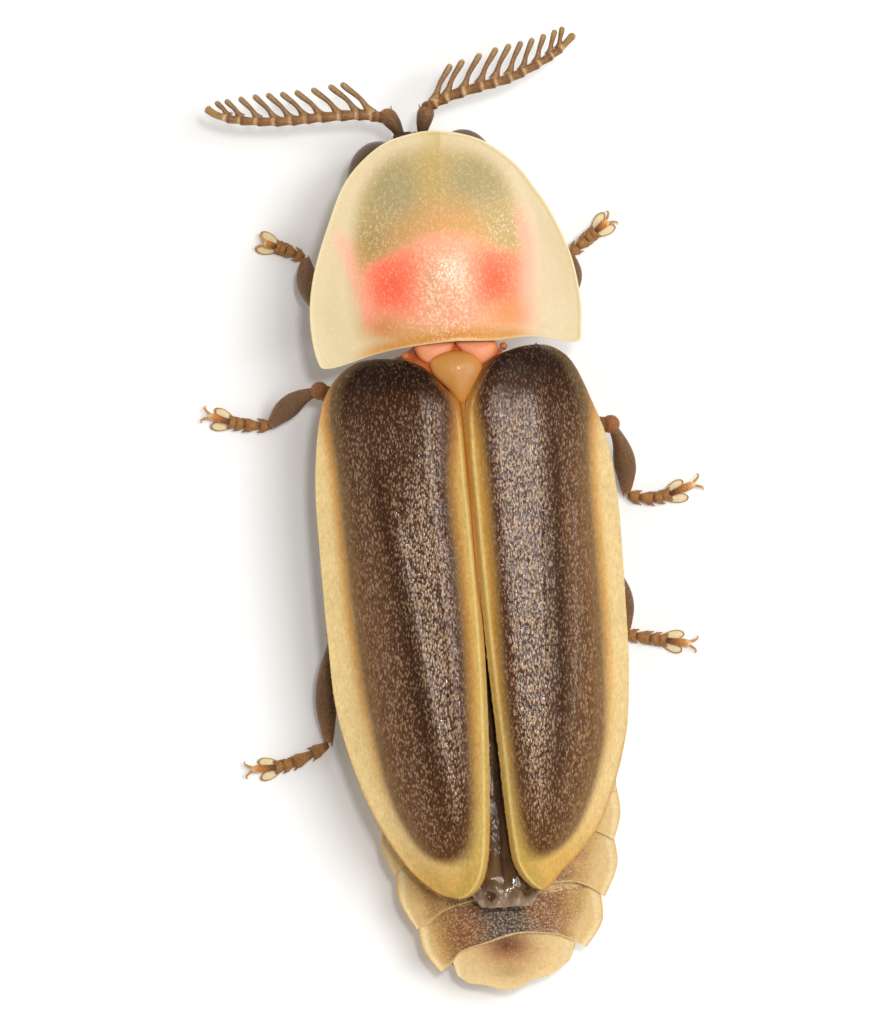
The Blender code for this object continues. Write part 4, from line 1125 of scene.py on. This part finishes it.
# %% Feelers
JOINTS = 11
BRANCHES = 10
BRANCH_WIDTH = 0.106
BRISTLES = 14
BRANCH_TINTS = [(0, "D0B080"), (0.12, "9C744A"), (0.4, "8A6642"), (0.85, "A28458"), (1, "C4AC80")]
STEM_TINTS = [
    (0, "A8845A"), (0.06, "D2B688"), (0.12, "B89464"), (0.2, "926A40"), (0.6, "865C36"), (0.9, "74492A"),
    (1, "94704A"),
]
SCAPE_SIZES = [(0.15, 0.18), (0.2, 0.24), (0.27, 0.3), (0.3, 0.32), (0.22, 0.24), (0.08, 0.1)]
SCAPE_TINTS = [(0, "3A281A"), (0.5, "6A482C"), (1, "94683C")]
FEELERS = {
    "left": {
        "scape": [(-0.9, 6.52, 1.54), (-1.0, 6.7, 1.58), (-1.14, 6.88, 1.6), (-1.2, 6.97, 1.6)],
        "stem": [
            (-1.24, 6.84, 1.6), (-1.61, 6.88, 1.66), (-2.3, 6.83, 1.72),
            (-3.0, 6.76, 1.72), (-3.7, 6.78, 1.66), (-4.1, 6.87, 1.6), (-4.3, 7.0, 1.55),
        ],
        "roots": [(-1.42, 6.9), (-2.3, 6.86), (-3.09, 6.79), (-3.92, 6.86)],
        "tips": [(-1.94, 7.43), (-2.74, 7.29), (-3.47, 7.22), (-4.12, 7.1)],
        "bow": 0.035,
    },
    "right": {
        "scape": [(-0.52, 6.52, 1.54), (-0.5, 6.72, 1.58), (-0.45, 6.95, 1.6), (-0.44, 7.06, 1.6)],
        "stem": [
            (-0.44, 7.02, 1.6), (-0.03, 7.21, 1.66), (0.49, 7.37, 1.72),
            (1.01, 7.52, 1.72), (1.5, 7.77, 1.66), (1.85, 8.0, 1.6), (2.14, 8.3, 1.55),
        ],
        "roots": [(-0.3, 7.12), (0.49, 7.42), (1.24, 7.66), (1.88, 8.05)],
        "tips": [(-0.02, 7.76), (0.78, 8.05), (1.41, 8.22), (1.93, 8.41)],
        "bow": -0.03,
    },
}


def branch(places, number):
    share = number / (BRANCHES - 1)
    root = curve(places["roots"], share)[0]
    tip = curve(places["tips"], share)[0]
    level = 1.66 - 0.1 * share
    middle = root + (tip - root) * 0.4 + np.array((places["bow"], abs(places["bow"]))) * (1 - 0.6 * share)
    late = 0.35 * middle + 0.65 * tip
    path = [(*root, level), (*middle, level + 0.04), (*late, level + 0.04), (*tip, level)]
    wide = BRANCH_WIDTH * (1 - 0.12 * share)
    swell = [2.3, 1.7, 1.1, 0.88, 0.84, 0.9, 0.98, 1.04, 1.06, 1.04, 0.88, 0.4]
    sizes = [(wide * size, 1.1 * wide * min(size, 1.4)) for size in swell]
    return tube(path, sizes, BRANCH_TINTS, 44, 16, 1.0, "70502F")


def feeler(side):
    places = FEELERS[side]
    share = np.linspace(0, 1, JOINTS * 12 + 1)
    line = curve(places["stem"], share)

    # Each joint starts where a branch stands.
    roots = curve(places["roots"], np.linspace(0, 1, BRANCHES))
    closest = [share[np.argmin(np.linalg.norm(line[:, :2] - root, axis=1))] for root in roots]
    knots = np.array([0.0, *closest, 1.0])
    number = np.clip(np.searchsorted(knots, share, side="right") - 1, 0, len(knots) - 2)
    within = (share - knots[number]) / (knots[number + 1] - knots[number])
    swell = 0.8 + 0.34 * within ** 1.5 + 0.1 * band(within, 0.0, 0.12)
    taper = (0.21 - 0.08 * share) * np.minimum(1.0, np.sqrt(np.maximum(1 - share, 0) / 0.04) + 0.1)
    sizes = np.stack([taper * swell, 1.15 * taper * swell], axis=-1)
    points, quads, triangles, _, relief, unwrap = tube(line, sizes, "FFFFFF", rows=len(share), count=20)
    stem_tints = shades(STEM_TINTS, within)
    stem_tints = paint(stem_tints, ("9A7848", ease((share - knots[-2] - 0.02) / 0.03)))
    tint = np.vstack([np.repeat(stem_tints, 20, axis=0), stem_tints[[0, -1]]])
    parts = [(points, quads, triangles, tint, relief, unwrap)]
    parts.append(tube(places["scape"], SCAPE_SIZES, SCAPE_TINTS, rows=30, count=24))
    parts.append(blob(places["stem"][0], (0.1, 0.1, 0.12), "6B4226", rows=14, count=18))
    parts += [branch(places, number) for number in range(BRANCHES)]

    # Bristles stand round the end of the first joint.
    end = np.array(places["scape"][-2])
    ahead = end - np.array(places["scape"][0])
    ahead /= np.linalg.norm(ahead)
    aside = np.array((ahead[1], -ahead[0], 0.0))
    for turn in np.linspace(0, 2 * math.pi, BRISTLES, endpoint=False):
        out = aside * math.cos(turn) + np.array((0, 0, 1.0)) * math.sin(turn)
        root = end + out * 0.11
        path = [root, root + ahead * 0.1 + out * 0.05]
        parts.append(tube(path, [(0.02, 0.02), (0.005, 0.005)], "9A7040", 5, 5))
    return piece("feeler_" + side, parts, limb_chitin, "brown_cuticle", "antenna_" + side)


feelers = {side: feeler(side) for side in FEELERS}

# %% [markdown]
# ## The legs
# Each leg has a hip joint, a thigh, a flat shin that widens towards its end, and a foot of five joints.
# The fourth joint of the foot is the clever one: it has two pale pads, shaped like spoons, that let the
# firefly walk on leaves. The last joint rises from between them and carries two hooked claws. All six
# legs are made by one function from where their joints are, so that they differ only in pose. The
# pads are flat on the floor.

# %% One leg, from hip to claws
LEG_LEVEL = 0.24
BOW = 0.09
LEGS = {
    "front_left": {
        "hip": (-0.42, 4.0, 0.6), "knee": (-2.28, 3.42, 1.1), "ankle": (-2.56, 4.36),
        "foot": [(-2.6, 4.4), (-2.95, 4.55), (-3.3, 4.66)],
    },
    "front_right": {
        "hip": (0.32, 4.05, 0.6), "knee": (1.92, 3.55, 1.1), "ankle": (2.06, 4.45),
        "foot": [(2.08, 4.48), (2.4, 4.76), (2.74, 5.05)],
    },
    "mid_left": {
        "hip": (-0.35, 1.2, 0.55), "knee": (-2.32, 2.06, 1.1), "ankle": (-3.16, 1.47),
        "foot": [(-3.16, 1.46), (-3.7, 1.47), (-4.27, 1.63)],
    },
    "mid_right": {
        "hip": (0.7, 1.25, 0.55), "knee": (2.78, 1.48, 1.1), "ankle": (3.06, 0.3),
        "foot": [(3.1, 0.24), (3.6, 0.18), (4.27, 0.44)],
    },
    "hind_left": {
        "hip": (-0.2, -0.9, 0.55), "knee": (-2.05, -2.2, 1.0), "ankle": (-2.16, -4.08),
        "foot": [(-2.18, -4.15), (-2.85, -4.5), (-3.52, -4.58)],
    },
    "hind_right": {
        "hip": (1.0, -0.82, 0.55), "knee": (2.7, -0.9, 1.0), "ankle": (3.05, -2.15),
        "foot": [(3.05, -2.21), (3.54, -2.28), (4.2, -2.37)],
    },
}
FOOT_JOINTS = [(-0.02, 0.24), (0.22, 0.46), (0.44, 0.58), (0.55, 0.68)]
PAD_FROM = 0.6
PAD_LONG = 0.4
PAD_WIDE = 0.17
PAD_SPLAY = 0.26

# The outline of a pad, as shares of its length and of half its width.
SPOON = [
    (0.0, 0.25), (0.35, 0.85), (0.7, 1.0), (0.95, 0.6), (1.03, 0.0), (0.95, -0.6), (0.7, -1.0),
    (0.35, -0.85), (0.0, -0.25),
]

# Width and depth along each limb, and its colours from start to end.
COXA_SIZES = [(0.5, 0.5), (0.58, 0.52), (0.48, 0.42), (0.22, 0.2)]
THIGH_SIZES = [(0.16, 0.2), (0.36, 0.34), (0.42, 0.38), (0.4, 0.36), (0.35, 0.31), (0.24, 0.22)]
SHIN_SIZES = [
    (0.14, 0.15), (0.19, 0.19), (0.29, 0.26), (0.38, 0.28), (0.37, 0.27), (0.26, 0.21), (0.16, 0.14),
]
JOINT_SIZES = [(0.1, 0.12), (0.15, 0.18), (0.2, 0.21), (0.245, 0.2), (0.12, 0.1)]
TOE_SIZES = [(0.09, 0.1), (0.1, 0.1), (0.12, 0.12), (0.14, 0.13), (0.09, 0.08)]
CLAW_SIZES = [(0.05, 0.06), (0.045, 0.05), (0.03, 0.035), (0.008, 0.008)]
COXA_TINTS = [(0, "8A6038"), (1, "6B4728")]
LIMB_TINTS = [(0, "8E5A2C"), (0.15, "70502F"), (0.6, "6A4A2C"), (0.85, "785230"), (1, "8E5E30")]
JOINT_TINTS = [(0, "5E3C1E"), (0.4, "A0703A"), (0.8, "8E5E2E"), (1, "4C3018")]
TOE_TINTS = [(0, "3A2416"), (0.3, "6A3C1C"), (0.7, "C07A34"), (1, "E0C690")]


def frame_at(places, share):
    """A place on the line of the foot, with the directions ahead and aside."""
    here = curve(places["foot"], share)[0]
    onward, back = (curve(places["foot"], at)[0] for at in (min(share + 0.02, 1.0), min(share, 0.98)))
    ahead = onward - back
    ahead = ahead / np.linalg.norm(ahead)
    return here, ahead, np.array((-ahead[1], ahead[0]))


def foot(places):
    """The joints of a foot, with a pair of points on each, the two pads and the clawed last joint."""
    parts = []
    for start, end in FOOT_JOINTS:
        here, ahead, aside = frame_at(places, start)
        there = frame_at(places, end)[0]
        path = [(*here, 0.13), (*((here + there) / 2), 0.13), (*there, 0.11)]
        parts.append(tube(path, JOINT_SIZES, JOINT_TINTS, 16, 16))
        for sign in (-1, 1):
            corner = there + aside * sign * 0.09 - ahead * 0.05
            point = there + aside * sign * 0.125 + ahead * 0.04
            path = [(*corner, 0.1), (*point, 0.06)]
            parts.append(tube(path, [(0.06, 0.07), (0.012, 0.012)], "A06C38", 6, 8))
    for sign in (-1, 1):
        here, ahead, aside = frame_at(places, PAD_FROM)
        lean = ahead * math.cos(PAD_SPLAY) + aside * sign * math.sin(PAD_SPLAY)
        broad = np.array((-lean[1], lean[0]))
        root = here + aside * sign * 0.05
        outline = [root + lean * PAD_LONG * long + broad * PAD_WIDE / 2 * wide for long, wide in SPOON]
        parts.append(pad(outline, 0.06, 0.035, 0.05, "E2D0A2", "9A6E3C", 10, 40))
    here, ahead, aside = frame_at(places, 0.62)
    toe = frame_at(places, 1.0)[0]
    path = [(*here, 0.17), (*((here + toe) / 2), 0.2), (*toe, 0.17)]
    parts.append(tube(path, TOE_SIZES, TOE_TINTS, 18, 14))
    for sign in (-1, 1):
        hook = [
            toe - ahead * 0.02 + aside * sign * 0.03, toe + ahead * 0.06 + aside * sign * 0.07,
            toe + ahead * 0.11 + aside * sign * 0.12, toe + ahead * 0.08 + aside * sign * 0.16,
        ]
        path = [(*place, level) for place, level in zip(hook, (0.17, 0.17, 0.13, 0.08))]
        parts.append(tube(path, CLAW_SIZES, "C08C50", 14, 10))
    return parts


def leg(name, places):
    hip = np.array(places["hip"])
    knee = np.array(places["knee"])
    ankle = np.array((*places["ankle"], LEG_LEVEL))
    aim = (knee - hip) / np.linalg.norm(knee - hip)
    coxa_path = [hip + (0, 0.3, 0.45), hip + (0, 0.2, 0.22), hip + (0, 0.03, 0), hip - (0, 0.2, 0.02)]
    thigh_path = [hip + aim * 0.1, hip + (knee - hip) * 0.5 + np.array((0, 0, 0.06)), knee]
    drop = ankle - knee
    outward = np.array((-drop[1], drop[0], 0)) / np.hypot(drop[0], drop[1]) * BOW
    outward = outward * math.copysign(1, outward[0] * (hip[0] - 0.1)) + (0, 0, 0.05)
    shin_path = [knee - drop * 0.02, knee + drop * 0.33 + outward, knee + drop * 0.7 + outward * 0.8, ankle]
    parts = [
        tube(coxa_path, COXA_SIZES, COXA_TINTS, 24, 26),
        blob(hip + aim * 0.16 - (0, 0.1, 0), (0.17, 0.17, 0.15), "7A5030", rows=16, count=20),
        tube(thigh_path, THIGH_SIZES, LIMB_TINTS, 36, 26),
        blob(knee, (0.16, 0.16, 0.14), "8A5630", rows=16, count=20),
        tube(shin_path, SHIN_SIZES, LIMB_TINTS, 40, 26),
    ]
    for sign in (-1, 1):
        spur = ankle + np.array((sign * 0.06, 0, 0))
        path = [spur, spur + drop / np.linalg.norm(drop) * 0.12]
        parts.append(tube(path, [(0.04, 0.04), (0.01, 0.01)], "8A5A30", 6, 8))
    return piece("leg_skin_" + name, parts + foot(places), limb_chitin, "dark_cuticle", "leg_" + name)


legs = {name: leg(name, places) for name, places in LEGS.items()}

# %% [markdown]
# ## Fine hairs
# Short golden hairs lie back along the wing cases and the abdomen, and sparse ones stand on the legs,
# the feelers and the shield. Particle hair would be lost when the model is exported, so each hair is
# a thin solid spike of four faces. Real ones are finer and closer: here they are fewer and thicker, so
# that they show. The root of each is a random place on the skin, just under the surface, and it leans
# one way with some disorder. A small patch of the UV map OFBake remembers where it stands.

# %% Hairs as thin spikes
hair = bpy.data.materials.new("golden_hair")
hair.use_nodes = True
hair_shader = hair.node_tree.nodes["Principled BSDF"]
hair_tint = add(hair.node_tree, "ShaderNodeAttribute", attribute_name="Tint")
hair.node_tree.links.new(hair_tint.outputs["Color"], hair_shader.inputs["Base Color"])
hair_shader.inputs["Roughness"].default_value = 0.35
hair_shader.inputs["IOR"].default_value = CHITIN_IOR
PATCH = 0.0015
HAIR_SUNK = 0.01
HAIR_DISORDER = 0.22
rng = np.random.default_rng(7)


def surface(skin):
    """Corners, unwrap and area direction of each triangle of a piece, in millimetres."""
    mesh = skin.data
    mesh.calc_loop_triangles()
    corners = np.empty(3 * len(mesh.loop_triangles), np.int32)
    mesh.loop_triangles.foreach_get("vertices", corners)
    points = np.empty(3 * len(mesh.vertices), np.float32)
    mesh.vertices.foreach_get("co", points)
    unwrap = np.empty(2 * len(mesh.vertices), np.float32)
    mesh.attributes["Unwrap"].data.foreach_get("vector", unwrap)
    tints = np.empty(4 * len(mesh.vertices), np.float32)
    mesh.attributes["Tint"].data.foreach_get("color", tints)
    corners = corners.reshape(-1, 3)
    place = points.reshape(-1, 3)[corners] / MM
    straight = np.cross(place[:, 1] - place[:, 0], place[:, 2] - place[:, 0])
    return place, unwrap.reshape(-1, 2)[corners], tints.reshape(-1, 4)[corners[:, 0], :3], straight


def coat(name, skins, count, long, wide, lift, lie, tint, slot, where=None):
    """Fine hairs over some pieces. lift is how far they stand up, and lie is the way they lean."""
    surfaces = zip(*(surface(skin) for skin in skins))
    place, unwrap, skin_tint, straight = (np.concatenate(rows) for rows in surfaces)
    area = np.linalg.norm(straight, axis=1)
    normal = straight / np.maximum(area, 1e-12)[:, None]
    weight = area if where is None else area * where(place.mean(axis=1), normal)
    chosen = rng.choice(len(area), count, p=weight / weight.sum())
    shares = rng.dirichlet((1, 1, 1), count)[..., None]
    root = np.sum(place[chosen] * shares, axis=1)
    spot = np.sum(unwrap[chosen] * shares, axis=1)
    up = normal[chosen]
    flat = np.array(lie, float) + rng.normal(0, HAIR_DISORDER, (count, 3))
    flat -= up * np.sum(flat * up, axis=1, keepdims=True)
    aim = flat / np.maximum(np.linalg.norm(flat, axis=1, keepdims=True), 1e-6) + up * lift
    aim /= np.linalg.norm(aim, axis=1, keepdims=True)
    beside = np.cross(aim, up)
    beside /= np.maximum(np.linalg.norm(beside, axis=1, keepdims=True), 1e-6)
    upward = np.cross(beside, aim)
    length = long * rng.uniform(0.7, 1.2, (count, 1))
    root = root - up * HAIR_SUNK
    spikes = np.stack([
        root + beside * wide / 2, root - beside * wide / 2, root + upward * wide / 2, root + aim * length,
    ], axis=1)
    spikes[..., 2] = np.maximum(spikes[..., 2], 0.0)
    first = 4 * np.arange(count)[:, None]
    faces = np.concatenate([first + corner for corner in ((0, 1, 2), (1, 0, 3), (2, 1, 3), (0, 2, 3))])
    mesh = bpy.data.meshes.new(name)
    mesh.from_pydata((spikes.reshape(-1, 3) * MM).tolist(), [], faces.tolist())
    mesh.materials.append(hair)
    shade = (0.45 * linear(tint) + 0.7 * skin_tint[chosen]) * rng.uniform(0.75, 1.2, (count, 1))
    shade = np.repeat(np.hstack([np.clip(shade, 0, 1), np.ones((count, 1))]), 4, axis=0)
    colours = mesh.attributes.new("Tint", "FLOAT_COLOR", "POINT")
    colours.data.foreach_set("color", shade.astype(np.float32).ravel())
    around = np.array(((-1, -1), (1, -1), (0, 1), (0, 0))) * PATCH
    patches = (spot[:, None] + around).reshape(-1, 2)[faces.ravel()]
    layer = mesh.uv_layers.new(name="OFBake")
    layer.data.foreach_set("uv", patches.astype(np.float32).ravel())
    made = bpy.data.objects.new(name, mesh)
    bpy.context.scene.collection.objects.link(made)
    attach(made, "root")
    print(name, "hairs:", count)
    return made


def back_half(places, normals):
    """More hairs towards the tail, and only on what faces up."""
    return ease((normals[:, 2] + 0.1) / 0.3) * (0.25 + ease((1.0 - places[:, 1]) / 5.0))


coat(
    "case_hairs", list(wing_cases.values()), 24000, 0.1, 0.006, 0.18, (0, -1, 0), "D2B282",
    "case_cuticle", back_half,
)
coat("shield_hairs", [shield], 2500, 0.04, 0.006, 0.5, (0, -0.6, 0), "F0E2B4", "shield_cuticle")
coat("plate_hairs", [abdomen], 5000, 0.07, 0.007, 0.35, (0, -1, 0), "D9BC86", "abdomen_cuticle")
coat("leg_hairs", list(legs.values()), 7000, 0.055, 0.006, 0.6, (0, 0, -0.6), "B08A5C", "dark_cuticle")
coat("feeler_hairs", list(feelers.values()), 5000, 0.035, 0.006, 0.7, (0, 0.3, 0), "B89468", "brown_cuticle")
coat("belly_hairs", [thorax, head], 3500, 0.1, 0.01, 0.5, (0, -1, 0), "B08A58", "brown_cuticle")
